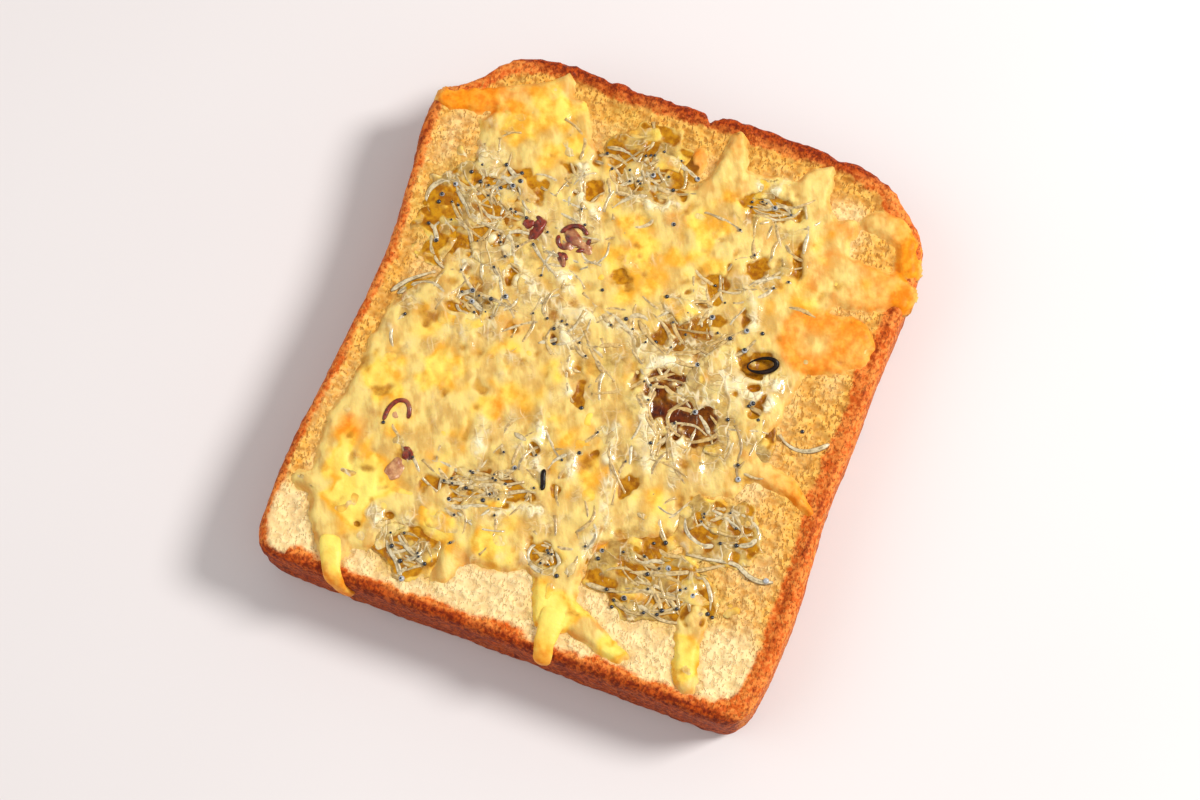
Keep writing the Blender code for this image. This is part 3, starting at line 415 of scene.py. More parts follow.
def only(obj):
    """The object alone, selected and active."""
    clean_slate()
    obj.select_set(True)
    bpy.context.view_layer.objects.active = obj
    return obj


def edit(obj):
    """Edit mode on the object, with all of it selected."""
    only(obj)
    bpy.ops.object.mode_set(mode="EDIT")
    bpy.ops.mesh.select_all(action="SELECT")


def pick(obj, chosen):
    """Edit mode on the object, with these of its points selected."""
    edit(obj)
    bpy.ops.mesh.select_mode(type="VERT")
    bpy.ops.mesh.select_all(action="DESELECT")
    builder = bmesh.from_edit_mesh(obj.data)
    for vert, picked in zip(builder.verts, chosen):
        vert.select = bool(picked)
    builder.select_flush_mode()
    bmesh.update_edit_mesh(obj.data)


def outward(obj):
    """Turns all faces outwards."""
    edit(obj)
    bpy.ops.mesh.normals_make_consistent(inside=False)
    bpy.ops.object.mode_set(mode="OBJECT")
    return obj


def finished_with(obj, kind, **settings):
    """Adds a modifier with these settings and applies it."""
    only(obj)
    modifier = obj.modifiers.new(kind.lower(), kind)
    for key, value in settings.items():
        setattr(modifier, key, value)
    bpy.ops.object.modifier_apply(modifier=modifier.name)
    return obj


def joined(objects, name):
    """Several objects as one, under this name."""
    clean_slate()
    for obj in objects:
        obj.select_set(True)
    bpy.context.view_layer.objects.active = objects[0]
    if len(objects) > 1:
        bpy.ops.object.join()
    obj = bpy.context.object
    obj.name = name
    obj.data.name = name
    return obj


def stored(obj, kind="co"):
    """What the mesh stores for its points: their places, or their normals."""
    flat = np.empty(len(obj.data.vertices) * 3)
    obj.data.vertices.foreach_get(kind, flat)
    return flat.reshape(-1, 3)


def points_of(obj):
    """The mesh's points in drawn millimetres."""
    return stored(obj) / MM - DRAWN_SHIFT


def on_frame(points):
    """Drawn millimetres in the frame's metres."""
    return (np.asarray(points, float) + DRAWN_SHIFT) * MM


def set_points(obj, points):
    """Moves the mesh's points to these drawn millimetres."""
    obj.data.vertices.foreach_set("co", on_frame(points).ravel())
    obj.data.update()


def set_layer(obj, name, values):
    """A number at each point, which the material reads."""
    layer = obj.data.attributes.get(name) or obj.data.attributes.new(name, "FLOAT", "POINT")
    layer.data.foreach_set("value", np.asarray(values, np.float32))


def smooth_shaded(obj):
    only(obj)
    bpy.ops.object.shade_smooth()
    return obj


def copy_of(pattern):
    """A copy with its own mesh."""
    obj = pattern.copy()
    obj.data = pattern.data.copy()
    bpy.context.scene.collection.objects.link(obj)
    return obj


def on_toast(obj, slot, *nodes):
    """The finished piece rides on the toast, and stands for these nodes."""
    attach(obj, "root")
    if nodes:
        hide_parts(*nodes)
    return obj


def waves(points, scale, seed):
    """Smooth noise of about -1 to 1, with bumps about scale across, at points of two or three numbers."""
    points = np.asarray(points, float)
    if points.shape[-1] == 2:
        points = np.concatenate([points, np.zeros(points.shape[:-1] + (1,))], -1)
    size = 32
    table = np.random.RandomState(seed).uniform(-1.25, 1.25, (size, size, size))
    spot = points / np.asarray(scale) + 512.37
    base = np.floor(spot).astype(int)
    part = spot - base
    part = part * part * (3 - 2 * part)
    total = 0.0
    for corner in np.ndindex(2, 2, 2):
        share = np.prod(np.where(corner, part, 1 - part), -1)
        i, j, k = np.moveaxis((base + corner) % size, -1, 0)
        total = total + share * table[i, j, k]
    return total


def smooth_step(low, high, values):
    """0 at low and 1 at high, smooth between and flat outside."""
    t = np.clip((values - low) / (high - low), 0, 1)
    return t * t * (3 - 2 * t)


def stroke_reach(points, course, widths):
    """How far each point lies outside a brush stroke of these half widths, negative inside it."""
    course = np.asarray(course, float)
    widths = np.asarray(widths, float)
    best = np.full(len(points), 1e3)
    for start, end, wide, next_wide in zip(course, course[1:], widths, widths[1:]):
        along = end - start
        t = np.clip((points - start) @ along / (along @ along), 0, 1)
        away = np.linalg.norm(points - start - t[:, None] * along, axis=1)
        best = np.minimum(best, away - (wide + (next_wide - wide) * t))
    return best


def outline_reach(points, outline):
    """How far each point lies outside a closed outline, negative inside it."""
    outline = np.asarray(outline, float)
    closed = np.vstack([outline, outline[:1]])
    away = stroke_reach(points, closed, np.zeros(len(closed)))
    inside = np.zeros(len(points), bool)
    for (x0, y0), (x1, y1) in zip(closed, closed[1:]):
        crosses = (y0 > points[:, 1]) != (y1 > points[:, 1])
        at = x0 + (points[:, 1] - y0) * (x1 - x0) / (y1 - y0 if y1 != y0 else 1e-9)
        inside ^= crosses & (points[:, 0] < at)
    return np.where(inside, -away, away)


def oval(points, x, y, half_long, half_wide, turn):
    """How far out each point is in an oval, 1 on its edge."""
    c, s = math.cos(math.radians(turn)), math.sin(math.radians(turn))
    dx, dy = points[:, 0] - x, points[:, 1] - y
    return np.hypot((dx * c + dy * s) / half_long, (dy * c - dx * s) / half_wide)


def spots(points, rows):
    """The strength of soft round spots at each point."""
    total = np.zeros(len(points))
    for x, y, radius, strength in rows:
        away = np.hypot(points[:, 0] - x, points[:, 1] - y) / radius
        total = np.maximum(total, strength * np.exp(-(away**2) * 1.1))
    return total


def catmull(points, closed, parts):
    """A smooth curve through the points."""
    points = np.asarray(points, float)
    count = len(points)
    fine = []
    for i in range(count if closed else count - 1):
        near = [(i + k) % count if closed else min(max(i + k, 0), count - 1) for k in (-1, 0, 1, 2)]
        before, start, end, after = points[near]
        for t in np.arange(parts) / parts:
            bow = 2 * before - 5 * start + 4 * end - after
            twist = 3 * start - before - 3 * end + after
            fine.append((2 * start + (end - before) * t + bow * t**2 + twist * t**3) / 2)
    if not closed:
        fine.append(points[-1])
    return np.array(fine)


def evenly(points, count):
    """The curve as this many points, evenly apart."""
    steps = np.linalg.norm(np.diff(points, axis=0), axis=1)
    run = np.concatenate([[0], np.cumsum(steps)])
    at = np.linspace(0, run[-1], count)
    return np.stack([np.interp(at, run, points[:, k]) for k in range(points.shape[1])], 1)


def round_ends(count, rings):
    """1 along a rod, and falling off round over so many rings at each end."""
    place = np.arange(count)
    return np.sin(np.clip(np.minimum(place + 1, count - place) / rings, 0, 1) * math.pi / 2)


def blurred(grid, times, own=4):
    """The grid evened out, where each place keeps so many shares of its own."""
    for _ in range(times):
        around = np.roll(grid, 1, 0) + np.roll(grid, -1, 0) + np.roll(grid, 1, 1) + np.roll(grid, -1, 1)
        grid = (own * grid + around) / (own + 4)
    return grid


CRUST_LINE = catmull(CRUST, True, 24)


def sheet_reach(points):
    """How far each point lies outside the melted cheese, negative inside it."""
    reach = outline_reach(points, SHEET)
    for course, widths, _, _ in TONGUES:
        other = stroke_reach(points, course, widths)
        blend = np.clip(0.5 + 0.5 * (other - reach) / 1.2, 0, 1)
        reach = other * (1 - blend) + reach * blend - 1.2 * blend * (1 - blend)
    ragged = 0.75 * waves(points, 3.4, 5) + 0.45 * waves(points, 1.5, 6)
    return reach + ragged * 0.8


class Wire:
    """A socket whose sums are written as sums."""

    def __init__(self, finish, socket):
        self.finish = finish
        self.socket = socket

    def _maths(self, operation, *values):
        made = self.finish.node("ShaderNodeMath", {"operation": operation}, dict(enumerate(values)))
        return Wire(self.finish, made.outputs[0])

    def __add__(self, other):
        return self._maths("ADD", self, other)

    def __sub__(self, other):
        return self._maths("SUBTRACT", self, other)

    def __rsub__(self, other):
        return self._maths("SUBTRACT", other, self)

    def __mul__(self, other):
        return self._maths("MULTIPLY", self, other)

    def at_least(self, other):
        return self._maths("MAXIMUM", self, other)

    __radd__ = __add__
    __rmul__ = __mul__


def colour(red, green, blue):
    """Screen colour 0 to 255 as the shader's linear one."""
    shares = (value / 255 for value in (red, green, blue))
    return tuple(v / 12.92 if v < 0.043 else ((v + 0.055) / 1.055) ** 2.4 for v in shares) + (1.0,)


class Finish:
    """One material, built up from nodes."""

    def __init__(self, name, **constants):
        self.material = bpy.data.materials.new(name)
        self.material.use_nodes = True
        self.tree = self.material.node_tree
        self.shader = self.tree.nodes["Principled BSDF"]
        for key, value in constants.items():
            self.shader.inputs[key.replace("_", " ")].default_value = value
        self.place = self.node("ShaderNodeTexCoord").outputs["Object"]

    def node(self, kind, settings=None, values=None):
        """A node of this type, its settings made first and then its sockets filled or joined."""
        made = self.tree.nodes.new(kind)
        for key, value in (settings or {}).items():
            setattr(made, key, value)
        for key, value in (values or {}).items():
            self.join(value, made.inputs[key])
        return made

    def join(self, value, socket):
        if isinstance(value, Wire):
            self.tree.links.new(value.socket, socket)
        elif isinstance(value, bpy.types.NodeSocket):
            self.tree.links.new(value, socket)
        else:
            socket.default_value = value

    def layers(self, *names):
        """The numbers that the mesh holds at each point under these names."""
        nodes = (self.node("ShaderNodeAttribute", {"attribute_name": name}) for name in names)
        return [Wire(self, made.outputs["Fac"]) for made in nodes]

    def noise(self, size_mm, detail=2.0, rough=0.5, stretch=(1, 1, 1), turn=0.0):
        """Noise whose lumps are about this many millimetres across, drawn out along a turned X."""
        place = self.node(
            "ShaderNodeMapping", {"vector_type": "TEXTURE"},
            {"Vector": self.place, "Scale": stretch, "Rotation": (0, 0, math.radians(turn))},
        ).outputs[0]
        made = self.node(
            "ShaderNodeTexNoise", {},
            {"Vector": place, "Scale": 1000 / size_mm, "Detail": detail, "Roughness": rough},
        )
        return Wire(self, made.outputs[0])

    def between(self, value, low, high):
        """0 at low and 1 at high, evenly between and flat outside."""
        made = self.node(
            "ShaderNodeMapRange", {"interpolation_type": "SMOOTHSTEP"},
            {"Value": value, 1: low, 2: high, 3: 0.0, 4: 1.0},
        )
        return Wire(self, made.outputs[0])

    def line(self, value, middle, half):
        """1 where the value is at the middle, falling to 0 this far from it: winding lines in a noise."""
        return 1 - self.between((value - middle).at_least(middle - value), 0.0, half)

    def mix(self, share, first, second):
        """The first colour turning into the second."""
        made = self.node("ShaderNodeMix", {"data_type": "RGBA"}, {0: share, 6: first, 7: second})
        return made.outputs[2]

    def tones(self, value, first, second, low=0.3, high=0.7):
        """Two screen colours, the first turning into the second as the value goes from low to high."""
        return self.mix(self.between(value, low, high), colour(*first), colour(*second))

    def bump(self, height, depth_mm, strength=1.0, below=None):
        values = {"Height": height, "Distance": depth_mm * MM, "Strength": strength}
        if below is not None:
            values["Normal"] = below
        return self.node("ShaderNodeBump", {}, values).outputs[0]

    def done(self, **sockets):
        for key, value in sockets.items():
            self.join(value, self.shader.inputs[key.replace("_", " ")])
        return self.material


def bread_finish():
    f = Finish(
        "toasted_bread", Subsurface_Weight=0.1, Subsurface_Scale=0.0015, Subsurface_Radius=(1.0, 0.45, 0.18),
        Specular_IOR_Level=0.15,
    )
    skin, char_and_side_shade, soak, tan, pits = f.layers("skin", "char_and_side_shade", "soak", "tan", "pits")
    speck, broad = f.noise(1.1, 3.0, 0.6), f.noise(6.0, 2.0, 0.5)
    fine, grit = f.noise(0.5, 2.0, 0.6), f.noise(0.7, 3.0, 0.65)
    pore = 1 - f.between(f.noise(1.2, 2.0, 0.6, (0.75, 1.6, 1.0), 8.0), 0.35, 0.42)
    small_pore = 1 - f.between(f.noise(0.65, 1.0, 0.5, (0.8, 1.5, 1.0), 8.0), 0.35, 0.42)
    hole = (pore * 0.8).at_least(small_pore * 0.7).at_least(pits * 0.7)

    cream = f.mix(broad, colour(255, 233, 178), colour(250, 214, 148))
    golden = f.tones(speck, (244, 190, 96), (232, 164, 66), 0.35, 0.7)
    crumb = f.mix(f.between(tan + (speck - 0.5) * 0.5, 0.15, 1.0), cream, golden)
    # Painted shade: the pores and pits are coloured darker inside.
    pore_shade = f.mix(tan, colour(200, 142, 70), colour(156, 88, 22))
    crumb = f.mix(hole * (0.5 + tan * 0.35), crumb, pore_shade)
    soaked = f.tones(speck, (232, 188, 84), (196, 138, 40), 0.35, 0.65)
    crumb = f.mix(f.between(soak, 0.05, 0.95) * 0.85, crumb, soaked)

    orange = f.tones(speck + (broad - 0.5) * 0.5, (238, 144, 64), (208, 92, 22), 0.36, 0.66)
    dark = f.tones(speck, (188, 72, 4), (118, 32, 1), 0.38, 0.62)
    uneven = (speck - 0.5) * 0.35 + (grit - 0.5) * 0.5 + (broad - 0.5) * 0.4
    # The char layer holds the real toasting and the painted shade of the side face.
    crust = f.mix(f.between(char_and_side_shade + uneven, 0.05, 1.0), orange, dark)
    crust = f.mix(small_pore * 0.5, crust, colour(120, 48, 12))
    return f.done(
        Base_Color=f.mix(f.between(skin + (speck - 0.5) * 0.55, 0.2, 0.75), crumb, crust),
        Roughness=0.88 - soak * 0.35 - f.between(skin, 0.2, 0.9) * 0.25,
        Normal=f.bump(1 - hole, 0.5, 0.8, f.bump(fine, 0.22, 0.6)),
    )


def cheese_finish():
    f = Finish(
        "melted_cheese", Subsurface_Weight=0.18, Subsurface_Scale=0.0015, Subsurface_Radius=(1.0, 0.6, 0.25),
        Coat_Roughness=0.07, Specular_IOR_Level=0.15,
    )
    milk, brown, deep, dark, gold, rise, haze = f.layers(*CHEESE_LAYERS)
    fleck, fine = f.noise(1.4, 3.0, 0.55), f.noise(0.6, 2.0, 0.5)
    curd = f.noise(3.8, 2.0, 0.5, (1.25, 1, 1), STREAK_TURN)
    streak = f.noise(1.3, 2.0, 0.55, (3.4, 1, 1), STREAK_TURN)
    strand = f.noise(4.2, 2.0, 0.5, (2.4, 1, 1), STREAK_TURN)
    cross = f.noise(3.4, 2.0, 0.5, (1.6, 1, 1), 20.0)
    mottle = (fleck - 0.5) * 0.8 + (streak - 0.5) * 0.3

    # Yellow and pale cheese, grey over the fish; grey and brown painted shade where the cheese lies low
    # between the shreds
    rich = f.tones(curd + (fleck - 0.5) * 0.4, (254, 214, 90), (236, 168, 48), 0.34, 0.66)
    lemon = f.tones(curd, (255, 232, 116), (252, 214, 96), 0.35, 0.65)
    rich = f.mix(f.between(gold, 1.0, 1.8), rich, lemon)
    pale = f.tones(curd + (streak - 0.5) * 0.6, (240, 210, 124), (212, 170, 92), 0.34, 0.66)
    base = f.mix(f.between(gold + (curd - 0.5) * 0.5 + mottle * 0.3, 0.0, 1.0), pale, rich)
    grey = f.tones(fleck, (182, 146, 76), (136, 98, 36))
    base = f.mix(f.between(haze - rise * 0.7 + mottle * 0.7, 0.15, 1.0) * 0.85, base, grey)
    shade_between_shreds = f.tones(curd, (206, 164, 84), (220, 162, 62), 0.35, 0.65)
    base = f.mix(f.between(0.0 - rise - mottle * 0.6, 0.0, 0.8) * 0.7, base, shade_between_shreds)

    # Milky cheese, whiter where it stands up as a painted highlight, and its strings
    cloud = fleck + (curd - 0.5) * 0.8
    hazy_milk = f.tones(cloud, (200, 172, 110), (152, 122, 66))
    milky = f.tones(cloud, (240, 214, 150), (192, 158, 94))
    milky = f.mix(f.between(haze - rise * 0.3, 0.25, 0.95) * 0.85, milky, hazy_milk)
    base = f.mix(f.between(milk + mottle * 0.6, 0.15, 0.85) * 0.85, base, milky)
    white = f.tones(fleck, (248, 230, 172), (255, 248, 214), 0.35, 0.7)
    milk_and_highlight = milk + rise * 0.9 - haze * 0.3 + mottle * 0.8
    base = f.mix(f.between(milk_and_highlight, 0.75, 1.7) * 0.9, base, white)
    stringy = f.between(milk + haze * 0.6 + (curd - 0.5) * 0.8, 0.2, 0.9)
    string = f.line(strand, 0.5, 0.035).at_least(f.line(cross, 0.5, 0.025) * 0.7) * stringy
    # Painted shade: a dark line runs beside each string.
    shade = f.line(strand, 0.565, 0.035).at_least(f.line(cross, 0.54, 0.025) * 0.7) * stringy
    base = f.mix(shade * 0.6, base, colour(150, 112, 56))
    base = f.mix(string * 0.6, base, colour(252, 238, 196))

    # Browned cheese, and the windows
    toasty = f.tones(fleck + (curd - 0.5) * 0.5, (252, 158, 24), (238, 128, 8))
    base = f.mix(f.between(brown + (fleck - 0.5) * 0.3 + (curd - 0.5) * 0.5, 0.1, 1.0), base, toasty)
    amber = f.tones(fleck + (curd - 0.5) * 0.6, (204, 142, 22), (156, 92, 6))
    maroon = f.tones(fleck, (112, 46, 4), (56, 14, 1))
    base = f.mix(f.between(deep + mottle * 0.3, 0.12, 0.72), base, f.mix(dark, amber, maroon))
    dull = f.between(fleck, 0.3, 0.7) * 0.1
    ripple = f.bump(fine, 0.2, 0.5)
    return f.done(
        Base_Color=base,
        Roughness=0.42 - f.between(milk + haze, 0.2, 0.9) * 0.16 + dull - deep * 0.1,
        Coat_Weight=f.between(milk + haze - deep * 0.9 + mottle * 0.5, 0.1, 0.9) * 0.75,
        Normal=f.bump(fleck * 0.8 + string * 0.8 - shade * 0.5, 0.3, 0.45, ripple),
    )


def fish_finish():
    f = Finish(
        "moist_whitebait", Subsurface_Weight=0.15, Subsurface_Scale=0.001, Subsurface_Radius=(0.8, 0.7, 0.5),
        Coat_Weight=0.5, Coat_Roughness=0.08,
    )
    along, flank_shade, tint = f.layers("along", "flank_shade", "tint")
    fleck, broad = f.noise(0.8, 2.0, 0.5), f.noise(2.6, 2.0, 0.5)
    pale = f.tones(fleck, (226, 212, 176), (188, 172, 134))
    warm = f.tones(fleck, (222, 190, 122), (190, 150, 82))
    skin = f.mix(f.between(tint + (broad - 0.5) * 1.2, 0.1, 0.9), pale, warm)
    skin = f.mix(f.between(tint, 0.9, 1.9), skin, colour(138, 108, 66))
    # Painted shade: the flanks of each fish are darkened, so its top reads paler.
    shade = f.mix(tint, colour(92, 78, 54), colour(112, 74, 32))
    skin = f.mix(f.between(flank_shade + (fleck - 0.5) * 0.3, 0.62, 1.0) * 0.85, skin, shade)
    back = (1 - f.between(flank_shade, 0.05, 0.45)) * f.between(broad + (fleck - 0.5) * 0.6, 0.5, 0.62)
    skin = f.mix(back * 0.6, skin, colour(112, 106, 90))
    skin = f.mix(f.between(along, 0.7, 1.0) * 0.5, skin, colour(196, 156, 84))
    return f.done(Base_Color=skin, Roughness=0.28 + fleck * 0.15, Normal=f.bump(fleck, 0.1, 0.4))


def eye_finish():
    f = Finish("fish_eye_black", Coat_Weight=0.6, Coat_Roughness=0.08)
    fleck = f.noise(0.4, 1.0)
    look = f.mix(fleck, colour(10, 12, 20), colour(34, 36, 48))
    return f.done(Base_Color=look, Roughness=0.18 + fleck * 0.1)


def eye_rim_finish():
    f = Finish("fish_eye_silver", Coat_Weight=0.5, Coat_Roughness=0.1)
    fleck = f.noise(0.5, 1.0)
    look = f.mix(fleck, colour(206, 206, 202), colour(132, 138, 148))
    return f.done(Base_Color=look, Roughness=0.25 + fleck * 0.1)


def red_finish():
    f = Finish(
        "moist_red_flesh", Subsurface_Weight=0.05, Subsurface_Scale=0.001, Subsurface_Radius=(1.0, 0.3, 0.2),
        Coat_Weight=0.25, Coat_Roughness=0.15,
    )
    pink, = f.layers("pink")
    fleck = f.noise(1.0, 3.0, 0.6)
    red = f.tones(fleck, (146, 46, 20), (74, 22, 8))
    flesh = f.tones(fleck, (212, 158, 106), (164, 100, 62))
    look = f.mix(f.between(pink + (fleck - 0.5) * 0.4, 0.2, 0.8), red, flesh)
    return f.done(Base_Color=look, Roughness=0.28 + fleck * 0.15, Normal=f.bump(fleck, 0.25, 0.5))


def black_finish():
    f = Finish("black_rind", Coat_Weight=0.05, Coat_Roughness=0.2, Specular_IOR_Level=0.2)
    fleck = f.noise(0.9, 2.0, 0.6)
    look = f.tones(fleck, (6, 4, 3), (36, 14, 7), 0.3, 0.75)
    return f.done(Base_Color=look, Roughness=0.3 + fleck * 0.2, Normal=f.bump(fleck, 0.15, 0.5))


def floor_finish():
    f = Finish("pale_floor", Specular_IOR_Level=0.3)
    shade = f.noise(90.0, 1.0)
    look = f.mix(shade, colour(230, 225, 225), colour(226, 220, 220))
    return f.done(Base_Color=look, Roughness=0.6 + shade * 0.05)


class Relief:
    """Heights over a fine grid, which grow as things are laid on it."""

    def __init__(self, step):
        self.low = np.array((-62.0, -70.0))
        self.step = step
        self.shape = (int(124 / step) + 1, int(140 / step) + 1)
        xs = self.low[0] + np.arange(self.shape[0]) * step
        ys = self.low[1] + np.arange(self.shape[1]) * step
        self.points = np.stack(np.meshgrid(xs, ys, indexing="ij"), -1).reshape(-1, 2)
        self.height = np.full(len(self.points), CRUMB_Z)

    def at(self, points):
        spot = (np.asarray(points, float) - self.low) / self.step
        base = np.clip(np.floor(spot).astype(int), 0, np.array(self.shape) - 2)
        part = np.clip(spot - base, 0, 1)
        grid = self.height.reshape(self.shape)
        i, j = base[..., 0], base[..., 1]
        u, v = part[..., 0], part[..., 1]
        low = grid[i, j] * (1 - u) + grid[i + 1, j] * u
        high = grid[i, j + 1] * (1 - u) + grid[i + 1, j + 1] * u
        return low * (1 - v) + high * v

    def lay(self, course, radii):
        """Raises the grid under a rod along the course, with its middle at the course's height."""
        course, radii = np.asarray(course, float), np.asarray(radii, float)
        reach = radii.max() + self.step
        lo = np.floor((course[:, :2].min(0) - reach - self.low) / self.step).astype(int)
        hi = np.ceil((course[:, :2].max(0) + reach - self.low) / self.step).astype(int) + 1
        lo, hi = np.maximum(lo, 0), np.minimum(hi, self.shape)
        grid = self.height.reshape(self.shape)
        window = self.points.reshape(*self.shape, 2)[lo[0]:hi[0], lo[1]:hi[1]]
        away = np.linalg.norm(window[:, :, None] - course[:, :2], axis=-1)
        tops = course[:, 2] + np.sqrt(np.clip(radii**2 - away**2, 0, None))
        tops = np.where(away < radii, tops, -1e3).max(-1)
        grid[lo[0]:hi[0], lo[1]:hi[1]] = np.maximum(grid[lo[0]:hi[0], lo[1]:hi[1]], tops)


def inset_line(line, inset):
    """The closed line moved in, and evened out where it moves far."""
    ahead = np.roll(line, -1, 0) - np.roll(line, 1, 0)
    ahead /= np.linalg.norm(ahead, axis=1)[:, None]
    moved = line + np.stack([-ahead[:, 1], ahead[:, 0]], 1) * inset
    for _ in range(int(inset * 8)):
        moved = (np.roll(moved, 1, 0) + 2 * moved + np.roll(moved, -1, 0)) / 4
    return moved


def crack_depth(points):
    """How far the crown's cracks cut in at each place."""
    depth = np.zeros(len(points))
    for x, deep, half in CRACKS:
        depth = np.maximum(depth, deep * np.clip(1 - np.abs(points[:, 0] - x) / half, 0, 1))
    return depth * (points[:, 1] > CROWN_Y)


def bread_slice():
    """The slice: its outline drawn from the foot, pulled up ring by ring, then worked over fine."""
    line = evenly(np.vstack([CRUST_LINE, CRUST_LINE[:1]]), OUTLINE_POINTS)[:-1]
    obj = started(
        "toast_bread", bpy.ops.mesh.primitive_circle_add, vertices=len(line), radius=0.05, fill_type="NGON"
    )
    rings = []
    for inset, height in SLICE_RINGS:
        ring = inset_line(line, inset)
        ring[:, 1] -= crack_depth(line) * (0.6 if height < 1 else max(0.0, 1 - inset / 4))
        rings.append(np.column_stack([ring, np.full(len(ring), height)]))
    set_points(obj, rings[0])
    edit(obj)
    for below, ring in zip(rings, rings[1:]):
        bpy.ops.mesh.select_all(action="DESELECT")
        builder = bmesh.from_edit_mesh(obj.data)
        top = max(builder.faces, key=lambda face: (len(face.verts) > 4, face.calc_center_median().z))
        top.select_set(True)
        bpy.ops.mesh.extrude_region_move(TRANSFORM_OT_translate={"value": (0, 0, 0.1 * MM)})
        builder = bmesh.from_edit_mesh(obj.data)
        places = on_frame(below)[:, :2]
        for vert in [vert for vert in builder.verts if vert.select]:
            nearest = int(np.argmin(np.hypot(*(places - np.array((vert.co.x, vert.co.y))).T)))
            vert.co = on_frame(ring[nearest])
        bmesh.update_edit_mesh(obj.data)
    outward(obj)
    finished_with(obj, "REMESH", mode="VOXEL", voxel_size=BREAD_VOXEL * MM)
    finished_with(obj, "SMOOTH", factor=0.5, iterations=3)
    roughen_bread(obj)
    # Fewer faces underneath, and where the cheese hides the crumb for good
    points = points_of(obj)
    hidden = (points[:, 2] > CRUMB_Z - 1.5) & (sheet_reach(points[:, :2]) < -2.5)
    pick(obj, (points[:, 2] < 0.6) | hidden)
    bpy.ops.mesh.decimate(ratio=0.06)
    bpy.ops.object.mode_set(mode="OBJECT")
    paint_bread(obj)
    on_toast(smooth_shaded(obj), "bread", "bread")


def crumb_pits(points):
    """How deep small open pores are at each place on the crumb, 0 to 1."""
    draw = np.random.RandomState(31)
    pits = np.zeros(len(points))
    order = np.argsort(points[:, 0])
    xs = points[order, 0]
    for _ in range(PIT_COUNT):
        x, y = draw.uniform(-58, 58), draw.uniform(-65, 64)
        half, turn = draw.uniform(0.35, 0.95), draw.normal(8, 22)
        long_half = half * draw.uniform(1.3, 2.2)
        first, last = np.searchsorted(xs, (x - long_half, x + long_half))
        near = order[first:last]
        near = near[np.abs(points[near, 1] - y) < long_half]
        if len(near):
            out = oval(points[near], x, y, long_half, half, turn)
            pits[near] = np.maximum(pits[near], np.clip(1 - out**2, 0, 1) * draw.uniform(0.5, 1.0))
    return pits


def roughen_bread(obj):
    """Pores in the crumb, blisters and pits in the crust."""
    points = points_of(obj)
    depth = -outline_reach(points[:, :2], CRUST_LINE[::4])
    flat = points[:, :2]
    on_top = smooth_step(CRUMB_Z - 1.4, CRUMB_Z - 0.5, points[:, 2])
    crumb = on_top * smooth_step(2.6, 4.4, depth)
    pits = crumb_pits(flat)
    drop = crumb * (pits * 0.6 + 0.16 * waves(flat, 1.3, 32) + 0.16 * waves(flat, 5.0, 33))
    skin = 1 - crumb
    rough = 0.3 * waves(points, 2.6, 34) + 0.22 * waves(points, 1.2, 35) + 0.25 * waves(points, 6.0, 36)
    crown = smooth_step(56, 63, points[:, 1])
    amount = skin * (0.45 + 0.5 * crown) * np.where(points[:, 2] < 0.5, 0.25, 1.0)
    points += stored(obj, "normal") * (rough * amount - 0.12 + 0.35 * crown * skin)[:, None]
    points[:, 2] -= drop
    # The slit in the middle of the crown runs a little way down the side and across the rim.
    slit = np.clip(1 - np.abs(points[:, 0] - 2.7 - 0.35 * np.sin(points[:, 2])) / 0.9, 0, 1)
    slit *= smooth_step(60.5, 63.5, points[:, 1]) * smooth_step(4, 12, points[:, 2])
    points[:, 1] -= slit * 0.9
    points[:, 2] -= slit * on_top * 0.8
    points[:, 2] = np.maximum(points[:, 2], 0.0)
    set_points(obj, points)


